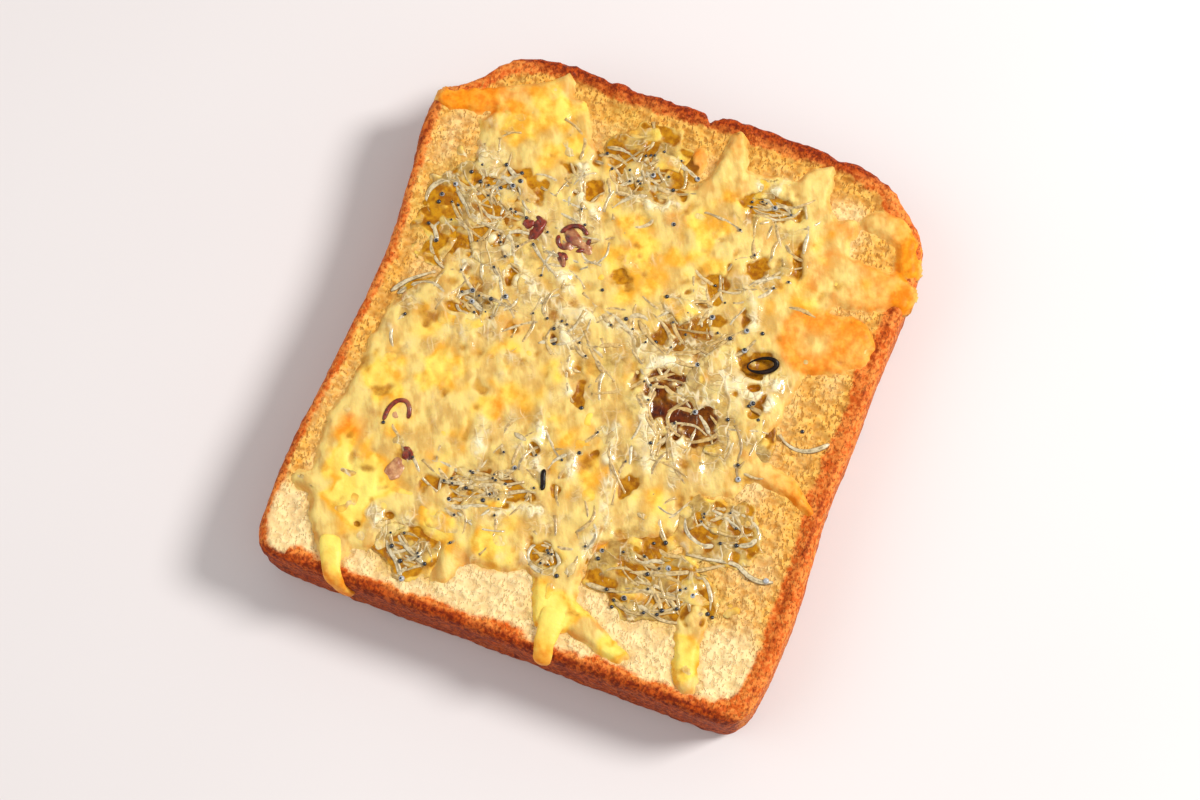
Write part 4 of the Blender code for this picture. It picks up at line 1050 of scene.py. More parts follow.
def paint_bread(obj):
    """The numbers that colour the bread: crust, dark crown, oil, toasting and painted shade on the side."""
    points = points_of(obj)
    flat = points[:, :2]
    depth = -outline_reach(flat, CRUST_LINE[::4])
    x, y, z = points.T
    wobble = 0.8 * waves(flat, 5.0, 41) + 0.5 * waves(flat, 1.8, 42)
    side = 1 - smooth_step(CRUMB_Z - 3.0, CRUMB_Z - 0.6, z)
    wide = np.interp(y, (-66, -60), (3.4, 4.2)) + np.where(x > 50, 0.8, 0.0) - np.where(x < -50, 1.5, 0.0)
    rim = 1 - smooth_step(wide - 1.6, wide + 1.6, depth + wobble)
    under = 1 - smooth_step(0.3, 1.5, z)
    skin = np.maximum(side, rim)
    crown = smooth_step(60.5, 65.5, y + wobble * 0.8) * np.where(np.abs(x) < 58, 1, 0)
    foot = smooth_step(-62.6, -64.8, y + wobble * 0.4) * 0.85
    left = smooth_step(-56.4, -59.0, x + wobble * 0.6) * 0.5
    on_top = on_share(z)
    line = np.exp(-(((x - 56.8 - 0.5 * waves(flat, 9.0, 43)) / 0.55) ** 2)) * (y < 52) * on_top
    line *= np.clip(0.55 + 0.5 * waves(flat, 4.0, 46), 0, 1)
    left_line = np.exp(-(((x + 58.3) / 0.8) ** 2)) * smooth_step(26, 32, y) * smooth_step(46, 40, y) * 0.8
    # Painted shade: the side face is darkened, more towards the bottom.
    low = side * (0.35 + 0.25 * smooth_step(12, 3, z))
    char_and_side_shade = np.clip(np.maximum.reduce([crown, foot, left, line, left_line, low]), 0, 1)
    reach = sheet_reach(flat)
    soak = smooth_step(2.6, 0.2, reach + wobble) * 0.42 * smooth_step(56, 44, x + 0.4 * y)
    pool = np.clip(1.15 - oval(flat, -16.5, 57.0, 5.5, 5.5, 0), 0, 1) * 1.3
    soak = np.maximum(soak, np.clip(pool, 0, 0.55) * (0.8 + 0.3 * waves(flat, 2.0, 44)))
    heaps = np.zeros(len(points))
    for _, hx, hy, a, b, turn, _ in HEAPS:
        heaps = np.maximum(heaps, smooth_step(1.25, 0.85, oval(flat, hx, hy, a, b, turn) + 0.08 * wobble))
    blotch = 0.3 * waves(flat, 4.0, 47) + 0.15 * waves(flat, 1.8, 48)
    for _, fx, fy, a, b in FILMS:
        heaps = np.maximum(heaps, smooth_step(1.45, 0.8, oval(flat, fx, fy, a, b, 0) + blotch) * 0.75)
    heaps = np.maximum(heaps, smooth_step(1.2, 0.5, oval(flat, 36.0, -29.0, 10.0, 11.0, 0) + blotch) * 0.7)
    soak = np.maximum(soak, heaps * 0.8)
    tan = 0.6 + 0.2 * waves(flat, 9.0, 45) - 0.15 * smooth_step(-50, -53, x)
    tan += 0.4 * smooth_step(54, 59, y) + 0.4 * smooth_step(9.0, 3.5, depth)
    tan += 0.25 * smooth_step(-34, -22, y) * smooth_step(42, 46, x) - 0.9 * smooth_step(-44, -56, y)
    tan += 0.75 * under
    set_layer(obj, "skin", skin)
    set_layer(obj, "char_and_side_shade", np.where(under > 0.5, 0.25, char_and_side_shade))
    set_layer(obj, "soak", np.clip(soak, 0, 1) * on_top)
    set_layer(obj, "tan", np.clip(tan, 0, 1.2))
    pits = crumb_pits(flat) * on_top
    set_layer(obj, "pits", np.clip(pits * 1.2, 0, 1))
    obj.data.materials.clear()
    obj.data.materials.append(bread_finish())


def on_share(z):
    return smooth_step(CRUMB_Z - 1.6, CRUMB_Z - 0.8, z)


def shred_rows(draw):
    """Melted shreds lying in the sheet: two ends, radius, height."""
    rows = []
    while len(rows) < SHRED_COUNT:
        spot = np.array((draw.uniform(-54, 58), draw.uniform(-60, 62)))
        if sheet_reach(spot[None])[0] > -1.0:
            continue
        heading = math.radians(draw.choice((draw.normal(STREAK_TURN, 22), draw.uniform(-90, 90))))
        half = draw.uniform(1.5, 5.0)
        along = np.array((math.cos(heading), math.sin(heading))) * half
        bow = np.array((-along[1], along[0])) / half * draw.uniform(-1.6, 1.6)
        radius, height = draw.uniform(0.7, 1.8), draw.uniform(0.25, 0.65)
        rows.append((spot - along, spot + bow, spot + along, radius, height))
    return rows


def sunk_courses(draw):
    """Courses of the fish that lie sunk in the cheese, most of them where it is milky."""
    courses = []
    while len(courses) < SUNK_COUNT:
        x, y = draw.uniform(-54, 46), draw.uniform(-56, 58)
        spot = np.array(((x, y),))
        if sheet_reach(spot)[0] > -1.5:
            continue
        if draw.random() > 0.1 + spots(spot, MILKY)[0] + spots(spot, HAZY)[0] - 0.9 * spots(spot, YELLOW)[0]:
            continue
        if math.hypot(x - DARK_RING[0], y - DARK_RING[1]) < 9 or math.hypot(x - 21, y - 4) < 8:
            continue
        heading, bend = draw.uniform(0, 2 * math.pi), draw.uniform(-0.5, 0.5)
        course = [(x, y)]
        for _ in range(4):
            far = draw.uniform(2.0, 3.6)
            x, y = x + math.cos(heading) * far, y + math.sin(heading) * far
            course.append((x, y))
            heading += bend + draw.uniform(-0.25, 0.25)
        if sheet_reach(np.array(course)).max() < 0.5:
            courses.append(course)
    return courses


def film_share(points, *only_nodes):
    """How fully the films cover each place, 0 to 1."""
    share = np.zeros(len(points))
    ragged = 0.26 * waves(points, 4.4, 26) + 0.14 * waves(points, 1.8, 27)
    for node, x, y, a, b in FILMS:
        if not only_nodes or node in only_nodes:
            share = np.maximum(share, smooth_step(1.15, 0.75, oval(points, x, y, a, b, 0) + ragged))
    return share


def lay_cheese(relief):
    """Gives the relief the cheese's form, and returns what colours it at each of its points."""
    points = relief.points
    reach = sheet_reach(points)
    inside = -reach
    draw = np.random.RandomState(SEED)
    ridges = np.zeros(len(points))
    for start, middle, end, radius, height in shred_rows(draw):
        near = np.abs(points - middle).max(1) < 9.5
        away = stroke_reach(points[near], (start, middle, end), (radius * 0.7, radius, radius * 0.7))
        dome = height * np.sqrt(np.clip(-away / radius, 0, 1))
        ridges[near] = np.maximum(ridges[near], dome)
    thick = 1.0 + 0.40 * waves(points, 7.5, 11) + 0.34 * waves(points, 3.6, 12)
    thick += 0.16 * waves(points, 1.7, 13)
    for course, widths, height, _ in TONGUES:
        own = smooth_step(0.6, -1.4, stroke_reach(points, course, widths))
        thick = thick * (1 - own) + own * (height * 0.85 + 0.22 * waves(points, 3.0, 14))
    thick = thick + ridges * 0.65
    stream = np.zeros(len(points))
    for course, half in STREAMS + BANDS:
        near = np.abs(points - np.mean(course, 0)).max(1) < 18
        away = stroke_reach(points[near], course, [half * STREAM_SLIM] * len(course))
        away += 0.8 * waves(points[near], 1.9, 86)
        stream[near] = np.maximum(stream[near], smooth_step(1.7, -1.0, away))
    thick = thick + stream * 0.45
    drop = np.zeros(len(points))
    dark = np.zeros(len(points))
    sunken = np.zeros(len(points))
    ragged = 0.75 * waves(points, 2.2, 15) + 0.4 * waves(points, 1.1, 16)
    for x, y, a, b, turn, shade in WINDOWS:
        near = (np.abs(points[:, 0] - x) < 7) & (np.abs(points[:, 1] - y) < 7)
        out = oval(points[near], x, y, a, b, turn) + ragged[near]
        share = smooth_step(1.3, 0.5, out)
        drop[near] = np.maximum(drop[near], share)
        dark[near] = np.maximum(dark[near], share * smooth_step(0.35, 1.0, np.full(near.sum(), shade)))
    for node, x, y, a, b, turn, _ in HEAPS:
        near = (np.abs(points[:, 0] - x) < 16) & (np.abs(points[:, 1] - y) < 16)
        out = oval(points[near], x, y, a, b, turn) + ragged[near] * 0.5
        inner = smooth_step(1.15, 0.75, out)
        shade = HEAP_DARK.get(node, 0.1)
        open_by = HEAP_GAPS.get(node, 0.1)
        share = inner * smooth_step(-0.3 - 0.8 * open_by, 0.1 - 0.7 * open_by, waves(points[near], 3.0, 20))
        sunken[near] = np.maximum(sunken[near], inner)
        drop[near] = np.maximum(drop[near], share)
        dark[near] = np.maximum(dark[near], share * shade)
    thin = smooth_step(0.2, 0.8, waves(points, 4.2, 17) * 0.6 + waves(points, 2.0, 18) * 0.5)
    thick = thick * (1 - 0.35 * sunken)
    thick = (thick - thin * 0.4) * (1 - drop) + drop * (0.3 + 0.08 * waves(points, 2.0, 19))
    film = film_share(points)
    rim = np.clip(inside / (1.5 + 3.0 * film), 0, 1)
    profile = np.sqrt(np.clip(1 - (1 - rim) ** 2, 0, 1))
    height = np.where(inside > 0, np.maximum(thick, 0.18) * profile, -0.9 * smooth_step(0, 1.2, reach))
    grid = blurred(height.reshape(relief.shape), 2)
    relief.height = CRUMB_Z + grid.ravel()
    # rise, the height over the local mean, whitens raised cheese as a painted highlight and browns and greys
    # its hollows as painted shade.
    grid = np.where(inside > 0.9, grid.ravel(), 0.85).reshape(relief.shape)
    rise = ((grid - blurred(grid, 40, 0)) * 1.9).ravel() * smooth_step(0.2, 2.4, inside)
    patch = 0.45 * waves(points, 4.6, 24) + 0.35 * waves(points, 2.3, 25)
    milk = 0.14 + spots(points, MILKY) * 0.45 + 0.3 * waves(points, 3.2, 21) - patch * 0.3 + stream * 0.55
    brown = spots(points, BROWNED)
    for course, widths, _, browned in TONGUES:
        own = smooth_step(2.4, -0.2, stroke_reach(points, course, widths))
        far = np.linalg.norm(points - course[0], axis=1) / math.dist(course[0], course[-1])
        brown = np.maximum(brown, own * browned * (0.35 + 0.6 * smooth_step(0.0, 0.8, far)))
        milk = milk * (1 - own) - own * 0.25
        rise = rise * (1 - own * 0.5)
    edge = smooth_step(1.5, 0.1, inside) * 0.35
    gold = spots(points, YELLOW) * 1.25 + patch + 0.12 * waves(points, 9.0, 22) - 0.14
    gold -= spots(points, MILKY) * 0.5 + stream * 0.7
    deep = np.maximum(drop, thin * 0.5)
    return {
        "reach": reach,
        "milk": np.clip(milk, 0, 1.3) * (1 - 0.6 * np.clip(brown, 0, 1)),
        "brown": np.clip(np.maximum(brown, edge) + 0.05 * waves(points, 3.0, 23), 0, 1),
        "deep": np.clip(deep, 0, 1),
        "dark": np.clip(dark, 0, 1),
        "gold": smooth_step(-0.1, 0.9, gold) * (1 + spots(points, LEMON)),
        "rise": np.clip(rise, -1, 1),
        "haze": np.clip(spots(points, HAZY) * 1.2 + 0.3 * waves(points, 3.8, 87) - stream * 0.3, 0, 1),
        "film": film,
    }


def grid_piece(name, relief, heights, layers, keep, thick):
    """A fine grid over the kept places, raised to these heights and closed below."""
    rows, columns = (np.nonzero(keep.reshape(relief.shape).any(axis))[0] for axis in (1, 0))
    first = np.array((rows[0], columns[0]))
    size = np.array((rows[-1], columns[-1])) - first
    obj = started(
        name, bpy.ops.mesh.primitive_grid_add, size=1,
        x_subdivisions=int(size[0]), y_subdivisions=int(size[1]),
    )
    index = np.rint((stored(obj)[:, :2] + 0.5) * size).astype(int) + first
    order = index[:, 0] * relief.shape[1] + index[:, 1]
    set_points(obj, np.column_stack([relief.points[order], heights[order]]))
    for layer in CHEESE_LAYERS:
        set_layer(obj, layer, layers[layer][order])
    pick(obj, ~keep[order])
    bpy.ops.mesh.delete(type="VERT")
    bpy.ops.mesh.select_all(action="SELECT")
    bpy.ops.mesh.extrude_region_move(TRANSFORM_OT_translate={"value": (0, 0, -thick * MM)})
    bpy.ops.mesh.decimate(ratio=0.03)
    return smooth_shaded(outward(obj))


def cheese_sheet(relief, layers):
    """The melted sheet, closed below inside the bread."""
    obj = grid_piece("melted_cheese", relief, relief.height, layers, layers["reach"] < 1.1, 1.2)
    obj.data.materials.append(cheese_finish())
    on_toast(obj, "cheese", "cheese")


def lay_films(relief, layers):
    """Films of oily cheese beside the sheet, one for each heap that needs it. They raise the relief."""
    points = relief.points
    own = dict(layers)
    lumpy = 0.5 * waves(points, 3.4, 28) + 0.4 * waves(points, 1.7, 29)
    gap = smooth_step(-0.24, 0.16, 0.65 * waves(points, 3.4, 37) + 0.35 * waves(points, 1.5, 38))
    own["gold"] = smooth_step(-0.5, 0.7, lumpy)
    own["milk"] = np.clip(0.15 + 0.6 * waves(points, 2.6, 30) - gap, 0, 1)
    own["brown"] = np.zeros(len(points))
    # Painted highlight on the lumps and painted shade in the gaps, through rise.
    own["rise"] = np.clip(lumpy * 0.6 - gap * 0.3, -1, 1)
    haze = np.clip(0.75 + 0.5 * waves(points, 3.0, 39), 0, 1)
    films = {}
    relief.height = np.maximum(relief.height, CRUMB_Z - 0.3)
    for node in dict.fromkeys(row[0] for row in FILMS):
        share = film_share(points, node)
        middle = smooth_step(0.1, 0.75, share)
        own["deep"] = gap * middle
        own["dark"] = gap * (0.04 + 0.6 * max(0.0, HEAP_DARK.get(node, 0.1) - 0.1))
        own["haze"] = haze * (0.4 + 0.6 * middle)
        over = 0.5 + 0.3 * lumpy - 0.42 * gap
        top = CRUMB_Z + over * share - 0.4 * smooth_step(0.35, 0.0, share)
        top -= 0.9 * smooth_step(-0.4, -2.4, layers["reach"])
        keep = (share > 0.02) & (layers["reach"] > -2.2) & (outline_reach(points, CRUST_LINE[::4]) < -3.5)
        films[node] = grid_piece(node.replace("whitebait", "film"), relief, top, own, keep, 1.0)
        films[node].data.materials.append(bpy.data.materials["melted_cheese"])
        relief.height = np.where(keep, np.maximum(relief.height, top), relief.height)
    relief.height = np.maximum(relief.height, CRUMB_Z)
    return films


def cheese_veil(relief):
    """Melted cheese that drapes over parts of the fish."""
    points = relief.points
    grid = blurred(relief.height.reshape(relief.shape), 5)
    near = np.zeros(len(points))
    for _, x, y, a, b, turn, _ in HEAPS:
        near = np.maximum(near, smooth_step(1.4, 1.0, oval(points, x, y, a, b, turn)))
    reach = sheet_reach(points)
    near = np.maximum(near, 0.8 * (reach < -1.0))
    blob = np.zeros(len(points))
    for x, y, a, b, turn in SMOOTH_BLOBS:
        blob = np.maximum(blob, smooth_step(1.2, 0.5, oval(points, x, y, a, b, turn)))
    field = 0.6 * waves(points, 4.4, 81) + 0.45 * waves(points, 2.2, 82) + spots(points, MILKY) * 0.35
    hollow = oval(points, 19.6, -3.6, 9.0, 6.5, -14)
    field += spots(points, YELLOW) * 0.3 - 0.3 - 0.5 * smooth_step(1.1, 0.7, hollow)
    field += blob * 1.1
    for x, y, a, b, turn, _ in WINDOWS:
        close = (np.abs(points[:, 0] - x) < 8) & (np.abs(points[:, 1] - y) < 8)
        field[close] -= 0.9 * smooth_step(1.6, 0.8, oval(points[close], x, y, a, b, turn))
    cover = np.clip(field, -1, 1) * near - (1 - near)
    thick = 0.42 * smooth_step(0.0, 0.7, cover) - 0.55 * smooth_step(0.12, -0.25, cover)
    thick += 0.1 * waves(points, 1.6, 83)
    top = np.minimum(grid.ravel() + thick, HIGHEST - 0.1)
    keep = (cover > -0.2) & (reach < 0.0) | (cover > -0.1) & (film_share(points) > 0.5)
    patch = 0.5 * waves(points, 3.4, 84) + 0.4 * waves(points, 1.8, 85)
    own = {
        "milk": np.clip(0.3 + spots(points, MILKY) * 0.4 + patch * 0.55, 0, 1),
        "gold": smooth_step(
            -0.1, 0.8, spots(points, YELLOW) * 1.2 - patch + 0.1 - spots(points, MILKY) * 0.6
        ),
        "brown": spots(points, BROWNED),
        "deep": np.zeros(len(points)),
        "dark": np.zeros(len(points)),
        # Painted highlight where the veil is thick and painted shade where it is thin, through rise.
        "rise": np.clip(thick * 1.2 - 0.25, -1, 1),
        "haze": np.clip(spots(points, HAZY) + 0.3 * patch, 0, 1),
    }
    veil = grid_piece("cheese_veil", relief, top, own, keep, 0.8)
    veil.data.materials.append(bpy.data.materials["melted_cheese"])
    on_toast(veil, "cheese")


def straight_fish():
    """One whitebait, drawn out along +Z from a small disc: blunt head, thin body, a little tail fin."""
    stations = np.linspace(0, 1, FISH_RINGS)
    sizes = [fish_girth(t) for t in stations]
    obj = started(
        "whitebait_pattern", bpy.ops.mesh.primitive_circle_add,
        vertices=FISH_SIDES, radius=SNOUT, fill_type="NGON",
    )
    edit(obj)
    place, last = 0.0, SNOUT
    for t, size in zip(stations[1:], sizes[1:]):
        bpy.ops.mesh.extrude_region_move(TRANSFORM_OT_translate={"value": (0, 0, t - place)})
        bpy.ops.transform.resize(value=(size / last, size / last, 1), center_override=(0, 0, t))
        place, last = t, size
    return outward(obj)


def fish_girth(t):
    """Half thickness along the fish, as a share of its greatest."""
    head = 0.5 + 0.5 * math.sin(min(1.0, t / 0.12) * math.pi / 2)
    body = 1.0 - 0.66 * max(0.0, (t - 0.22) / 0.78) ** 1.25
    return head * body


def laid_fish(pattern, course, half, lift, relief, tint, draw, edge=1.0):
    """A copy of the fish, bent along the course over what lies below it, its flanks painted this dark as
    shade.
    """
    line = evenly(catmull(course, False, 8), FISH_RINGS)
    t = np.linspace(0, 1, FISH_RINGS)
    girth = np.array([fish_girth(v) for v in t]) * half
    below = relief.at(line)
    for _ in range(3):
        below[1:-1] = (below[:-2] + 2 * below[1:-1] + below[2:]) / 4
    height = below + girth * lift + 0.12 * np.sin(t * 7 + draw.uniform(0, 6))
    height = np.minimum(height, HIGHEST - girth - 0.05)
    relief.lay(np.column_stack([line, height]), girth)
    obj = copy_of(pattern)
    u, v, w = stored(obj).T
    k = np.rint(w * (FISH_RINGS - 1)).astype(int)
    ahead = np.gradient(line, axis=0)
    ahead /= np.linalg.norm(ahead, axis=1)[:, None]
    side = np.stack([-ahead[:, 1], ahead[:, 0]], 1)
    fin = 1 + 1.3 * smooth_step(0.9, 1.0, t)
    squash = 0.58 - 0.2 * smooth_step(0.9, 1.0, t)
    spread = (u * half)[:, None] * side[k] * fin[k][:, None]
    rise = v * half * squash[k]
    set_points(obj, np.column_stack([line[k] + spread, height[k] + rise]))
    reach = np.hypot(u, v)
    set_layer(obj, "along", t[k])
    # How far each point faces sideways, which the finish darkens as painted shade.
    set_layer(obj, "flank_shade", edge * np.abs(u) / np.maximum(reach, 1e-6))
    set_layer(obj, "tint", np.full(len(u), tint))
    return obj


def wandering(x, y, half_long, half_wide, turn, draw):
    """A bent course inside a heap."""
    length = draw.uniform(9, 17)
    while True:
        angle, far = draw.uniform(0, 2 * math.pi), math.sqrt(draw.random()) * 0.95
        u, v = half_long * far * math.cos(angle), half_wide * far * math.sin(angle)
        heading, bend = draw.uniform(0, 2 * math.pi), draw.uniform(-0.16, 0.16)
        course = []
        for _ in range(6):
            course.append((u, v))
            u += math.cos(heading) * length / 5
            v += math.sin(heading) * length / 5
            heading += bend * length / 5
        if all((u / half_long) ** 2 + (v / half_wide) ** 2 < 1.02 for u, v in course):
            break
        length *= 0.985
    c, s = math.cos(math.radians(turn)), math.sin(math.radians(turn))
    return [(x + u * c - v * s, y + u * s + v * c) for u, v in course]


def whitebait(relief, films):
    """All the fish, heap by heap over its own film, and the heads of the scattered ones."""
    draw = random.Random(SEED)
    pattern = straight_fish()
    finish = fish_finish()
    heads = []
    sunk = []
    for course in sunk_courses(draw):
        half = draw.uniform(0.4, 0.6)
        lift = draw.uniform(-0.6, -0.2)
        sunk.append(laid_fish(pattern, course, half, lift, relief, draw.uniform(0.2, 1.1), draw, 0.6))
        if draw.random() < 0.3:
            heads.append((course, half))
    sunk = joined(sunk, "fish_in_cheese")
    sunk.data.materials.append(finish)
    on_toast(smooth_shaded(sunk), "whitebait")
    for node, x, y, a, b, turn, count in HEAPS:
        laid = []
        for _ in range(count):
            course = wandering(x, y, a, b, turn, draw)
            half = draw.uniform(0.46, 0.68) * FISH_SLIM
            tint = draw.uniform(0.2, 1.0) + HEAP_DARK.get(node, 0.1)
            laid.append(laid_fish(pattern, course, half, -0.35, relief, tint, draw, 0.9))
            heads.append((course, half))
        for half, course in PLACED_FISH[node]:
            tint = draw.uniform(0.0, 0.6) + HEAP_DARK.get(node, 0.1)
            laid.append(laid_fish(pattern, course, half * FISH_SLIM, -0.4, relief, tint, draw))
        for fish in laid:
            fish.data.materials.append(finish)
        heap = joined(([films[node]] if node in films else []) + laid, node.replace("whitebait", "fish"))
        on_toast(smooth_shaded(heap), "whitebait", node)
    for node, half, course in LONE_FISH:
        lone = laid_fish(pattern, course, half * 0.75, 0.1, relief, 0.25, draw, 1.05)
        lone = joined([lone], node.replace("whitebait", "fish"))
        lone.data.materials.append(finish)
        on_toast(smooth_shaded(lone), "whitebait", node)
    bpy.data.objects.remove(pattern)
    return heads


def bead(name, places, radius, squash, lift, relief, finish):
    """Small beads at the places, modelled once and copied."""
    pattern = started(name, bpy.ops.mesh.primitive_uv_sphere_add, segments=10, ring_count=6, radius=1)
    shape = stored(pattern)
    copies = []
    for x, y, size in places:
        copy = copy_of(pattern)
        spot = (x, y, float(relief.at((x, y))) + lift)
        set_points(copy, shape * (radius * size, radius * size, radius * size * squash) + spot)
        copies.append(copy)
    bpy.data.objects.remove(pattern)
    obj = joined(copies, name)
    obj.data.materials.append(finish)
    return on_toast(smooth_shaded(obj), "whitebait")


def fish_eyes(relief, heads):
    """Black beads, many of them in a silvery ring."""
    draw = random.Random(SEED + 1)
    beads = [(x, y, draw.uniform(0.85, 1.2)) for x, y, _ in EYES]
    rims = [
        (x + draw.uniform(-0.12, 0.12), y + draw.uniform(-0.12, 0.12), 0.8 + 0.5 * pale)
        for x, y, pale in EYES if pale > 0.45
    ]
    for course, _ in heads:
        (x0, y0), (x1, y1) = course[0], course[1]
        away = math.hypot(x1 - x0, y1 - y0)
        spot = (x0 + (x1 - x0) * 0.7 / away, y0 + (y1 - y0) * 0.7 / away)
        if min(math.hypot(spot[0] - x, spot[1] - y) for x, y, _ in EYES) > 2.0:
            beads.append((*spot, draw.uniform(0.55, 0.8)))
    bead("fish_eye_rims", rims, EYE_RADIUS * 1.15, 0.55, 0.04, relief, eye_rim_finish())
    bead("fish_eyes", beads, EYE_RADIUS, 0.75, 0.16, relief, eye_finish())


def bent_tube(name, course, outs, half_wide, half_thick, sides):
    """A tube drawn out of a small disc and bent along a course in space, closed at both ends."""
    obj = started(name, bpy.ops.mesh.primitive_circle_add, vertices=sides, radius=1, fill_type="NGON")
    edit(obj)
    for _ in range(len(course) - 1):
        bpy.ops.mesh.extrude_region_move(TRANSFORM_OT_translate={"value": (0, 0, 1)})
    bpy.ops.object.mode_set(mode="OBJECT")
    u, v, w = stored(obj).T
    k = np.rint(w).astype(int)
    ahead = np.gradient(course, axis=0)
    ahead /= np.linalg.norm(ahead, axis=1)[:, None]
    side = np.cross(ahead, outs)
    side /= np.maximum(np.linalg.norm(side, axis=1), 1e-6)[:, None]
    up = np.cross(side, ahead)
    set_points(obj, course[k] + (u * half_wide[k])[:, None] * side[k] + (v * half_thick[k])[:, None] * up[k])
    return outward(obj)


def cheese_drips():
    """Two runs of cheese over the foot of the slice."""
    for name, rows in zip(DRIP_NAMES, DRIPS):
        centres = catmull([place for place, _, _ in rows], False, 5)
        outs = catmull([out for _, out, _ in rows], False, 5)
        halves = catmull([(half, 0) for _, _, half in rows], False, 5)[:, 0]
        ends = round_ends(len(centres), 3)
        obj = bent_tube(name, centres, outs, halves * ends, 1.15 * np.minimum(1, halves / 1.8) * ends, 16)
        finished_with(obj, "REMESH", mode="VOXEL", voxel_size=0.4 * MM)
        finished_with(obj, "SMOOTH", factor=0.6, iterations=6)
        points = points_of(obj)
        points += 0.16 * np.stack([waves(points, 2.6, s) for s in (51, 52, 53)], 1)
        set_points(obj, points)
        low = smooth_step(-62, -66.5, points[:, 1])
        own = dict.fromkeys(CHEESE_LAYERS, np.zeros(len(points)))
        own["milk"] = 0.15 + 0.2 * waves(points, 3.0, 54)
        own["brown"] = np.clip(low * 0.75 + 0.15 * waves(points, 2.0, 55), 0, 1)
        own["gold"] = np.clip(1.6 - low * 0.8 + 0.2 * waves(points, 4.0, 56), 0, 2)
        own["rise"] = np.clip(0.3 * waves(points, 1.6, 57), -1, 1)
        for layer, values in own.items():
            set_layer(obj, layer, values)
        obj.data.materials.append(bpy.data.materials["melted_cheese"])
        on_toast(smooth_shaded(obj), "cheese")


def lump(name, x, y, half_long, half_wide, turn, height, seed):
    """A soft uneven lump pressed into the cheese."""
    obj = started(name, bpy.ops.mesh.primitive_uv_sphere_add, segments=32, ring_count=20, radius=1)
    u, v, w = stored(obj).T
    grow = 1 + 0.22 * waves(np.stack([u, v, w], 1) * 4 + seed, 2.2, seed)
    c, s = math.cos(math.radians(turn)), math.sin(math.radians(turn))
    u, v = u * half_long * grow, v * half_wide * grow
    points = np.stack([x + u * c - v * s, y + u * s + v * c, CRUMB_Z + 0.5 + w * (height - 0.5) * grow], 1)
    points[:, 2] += 0.16 * waves(points, 1.3, seed + 1)
    set_points(obj, points)
    return obj


def rod_on(relief, name, course, lift, half, squash, rings, lowest=0.0, highest=99.0):
    """A round rod drawn smooth along the course, lying on what is below."""
    line = catmull(course, False, 6)
    line = np.column_stack([line, np.clip(relief.at(line) + lift, lowest, highest)])
    halves = half * round_ends(len(line), rings)
    return bent_tube(name, line, (0, 0, 1.0), halves, halves * squash, 10)


def red_pieces(relief):
    """Dark red strips and lumps of pinkish flesh."""
    finish = red_finish()
    rows = (
        (
            "red_piece_1",
            ((-25.2, 25.0, 1.5, 3.0, -10, 1.7, 0.1), (-27.4, 25.8, 1.5, 1.1, 10, 1.6, 0.0)),
            (((-26.4, 28.2), (-24.8, 27.4), (-24.5, 25.4), (-25.0, 22.8)),),
        ),
        (
            "red_piece_2",
            ((-16.4, 26.2, 3.1, 2.0, -25, 1.6, 0.55), (-13.4, 25.0, 2.2, 1.5, -10, 1.5, 0.8),
             (-17.2, 23.8, 2.0, 1.6, 30, 1.5, 0.6)),
            (((-19.8, 26.4), (-18.4, 28.5), (-16.0, 29.2), (-13.8, 28.0)),
             ((-12.9, 27.2), (-13.3, 24.8), (-14.8, 23.2)),
             ((-20.0, 25.6), (-19.4, 23.8), (-17.6, 22.8))),
        ),
        (
            "red_piece_3", ((-17.2, 20.6, 1.7, 2.0, 20, 1.7, 0.15),),
            (((-18.6, 21.6), (-17.0, 20.6), (-16.2, 18.6)),),
        ),
        (
            "red_piece_4",
            ((-38.7, -26.4, 1.9, 2.4, 0, 1.4, 0.85),),
            (((-41.0, -29.0), (-40.9, -26.2), (-39.8, -23.9), (-38.0, -23.2), (-36.6, -24.4),
              (-36.0, -26.6)),),
        ),
        (
            "red_piece_5",
            ((-32.7, -34.2, 1.9, 1.8, -10, 1.6, 0.2), (-34.4, -38.6, 2.3, 3.1, -24, 1.6, 0.85)),
            (((-34.4, -33.2), (-32.8, -33.6), (-31.6, -35.2)),),
        ),
    )
    for seed, (node, lumps, strips) in enumerate(rows, 61):
        made = []
        for x, y, a, b, turn, height, pink in lumps:
            piece = lump(node, x, y, a, b, turn, height, seed)
            spread = waves(points_of(piece), 1.3, seed + 30)
            set_layer(piece, "pink", np.clip(pink + 0.5 * spread, 0, 1))
            made.append(piece)
        for strip in strips:
            piece = rod_on(relief, node, strip, 0.05, 0.55, 0.7, 4, CRUMB_Z + 1.0, HIGHEST - 0.9)
            set_layer(piece, "pink", np.clip(0.1 + 0.4 * waves(points_of(piece), 2.0, seed + 40), 0, 1))
            made.append(piece)
        obj = joined(made, node.replace("piece", "flesh"))
        obj.data.materials.clear()
        obj.data.materials.append(finish)
        on_toast(smooth_shaded(obj), "red_piece", node)


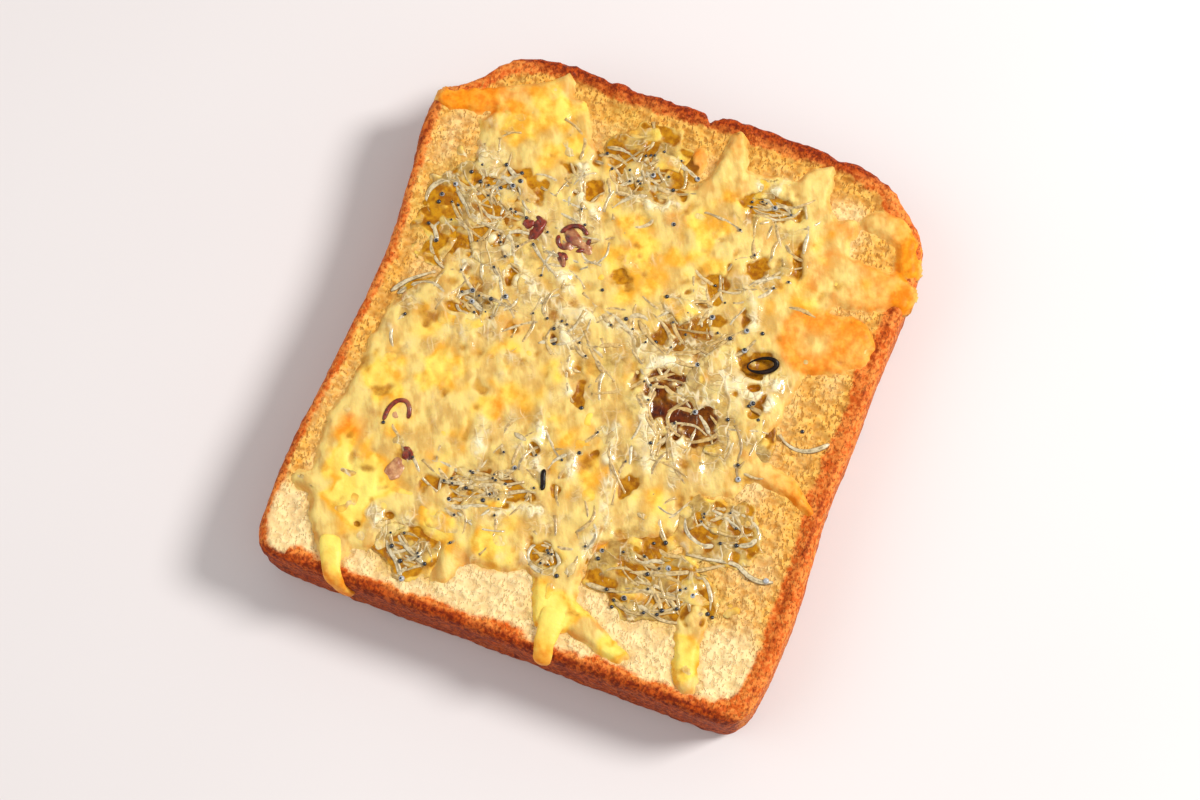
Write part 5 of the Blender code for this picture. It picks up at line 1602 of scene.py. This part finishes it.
def dark_bits(relief):
    """The squashed black ring and the black sliver."""
    finish = black_finish()
    x, y, a, b, turn, thick = DARK_RING
    obj = started(
        "black_ring", bpy.ops.mesh.primitive_torus_add, major_segments=48, minor_segments=12,
        major_radius=1, minor_radius=0.2,
    )
    u, v, w = stored(obj).T
    angle = np.arctan2(v, u)
    out = (np.hypot(u, v) - 1) / 0.2
    own = thick * (1.15 + 0.6 * np.cos(angle) - 0.25 * np.sin(angle))
    c, s = math.cos(math.radians(turn)), math.sin(math.radians(turn))
    p, q = (a * np.cos(angle) + out * own * np.cos(angle)), (b * np.sin(angle) + out * own * np.sin(angle))
    height = CRUMB_Z + 1.5 + 0.25 * np.sin(angle * 2) + w / 0.2 * own * 0.9
    set_points(obj, np.column_stack([x + p * c - q * s, y + p * s + q * c, height]))
    obj.data.materials.append(finish)
    on_toast(smooth_shaded(obj), "dark_piece", "dark_ring")
    sliver = rod_on(relief, "black_sliver", DARK_SLIVER, 0.25, 0.62, 0.7, 5)
    sliver.data.materials.append(finish)
    on_toast(smooth_shaded(sliver), "dark_piece", "dark_sliver")


def lamp(name, place, size, energy, tint):
    """A round soft lamp that looks at the toast."""
    bpy.ops.object.light_add(type="AREA", location=place)
    obj = bpy.context.object
    obj.name = name
    obj.data.shape = "DISK"
    obj.data.size = size
    obj.data.energy = energy
    obj.data.color = tint
    obj.rotation_euler = (Vector((0, 0, 0.01)) - obj.location).to_track_quat("-Z", "Y").to_euler()


def studio():
    """A pale floor, a soft light from the slice's crown side and the camera."""
    floor = started("floor", bpy.ops.mesh.primitive_plane_add, size=4.0, location=(0, 0, -0.0002))
    floor.data.materials.append(floor_finish())
    clean_slate()
    lamp("key_light", (0.72, 0.40, 0.80), 0.34, 12.4, (1.0, 0.98, 0.95))
    lamp("fill_light", (-0.7, -0.4, 0.9), 1.0, 3.0, (1.0, 1.0, 1.0))
    world = bpy.data.worlds.new("pale_room")
    world.use_nodes = True
    world.node_tree.nodes["Background"].inputs["Color"].default_value = (1.0, 0.975, 0.955, 1.0)
    world.node_tree.nodes["Background"].inputs["Strength"].default_value = 0.48
    bpy.context.scene.world = world
    lens = bpy.data.cameras.new("camera")
    lens.lens = 70.56
    lens.sensor_width = 36.0
    lens.clip_start = 0.01
    camera = bpy.data.objects.new("camera", lens)
    turn = Matrix((CAMERA_RIGHT, CAMERA_UP, -CAMERA_AHEAD)).transposed().to_4x4()
    camera.matrix_world = Matrix.Translation(on_frame(CAMERA_PLACE)) @ turn
    bpy.context.scene.collection.objects.link(camera)
    bpy.context.scene.camera = camera
    bpy.context.scene.view_settings.view_transform = "Standard"


studio()
relief = Relief(CHEESE_STEP)
layers = lay_cheese(relief)
cheese_sheet(relief, layers)
cheese_drips()
bread_slice()
films = lay_films(relief, layers)
heads = whitebait(relief, films)
cheese_veil(relief)
fish_eyes(relief, heads)
red_pieces(relief)
dark_bits(relief)

clean_slate()
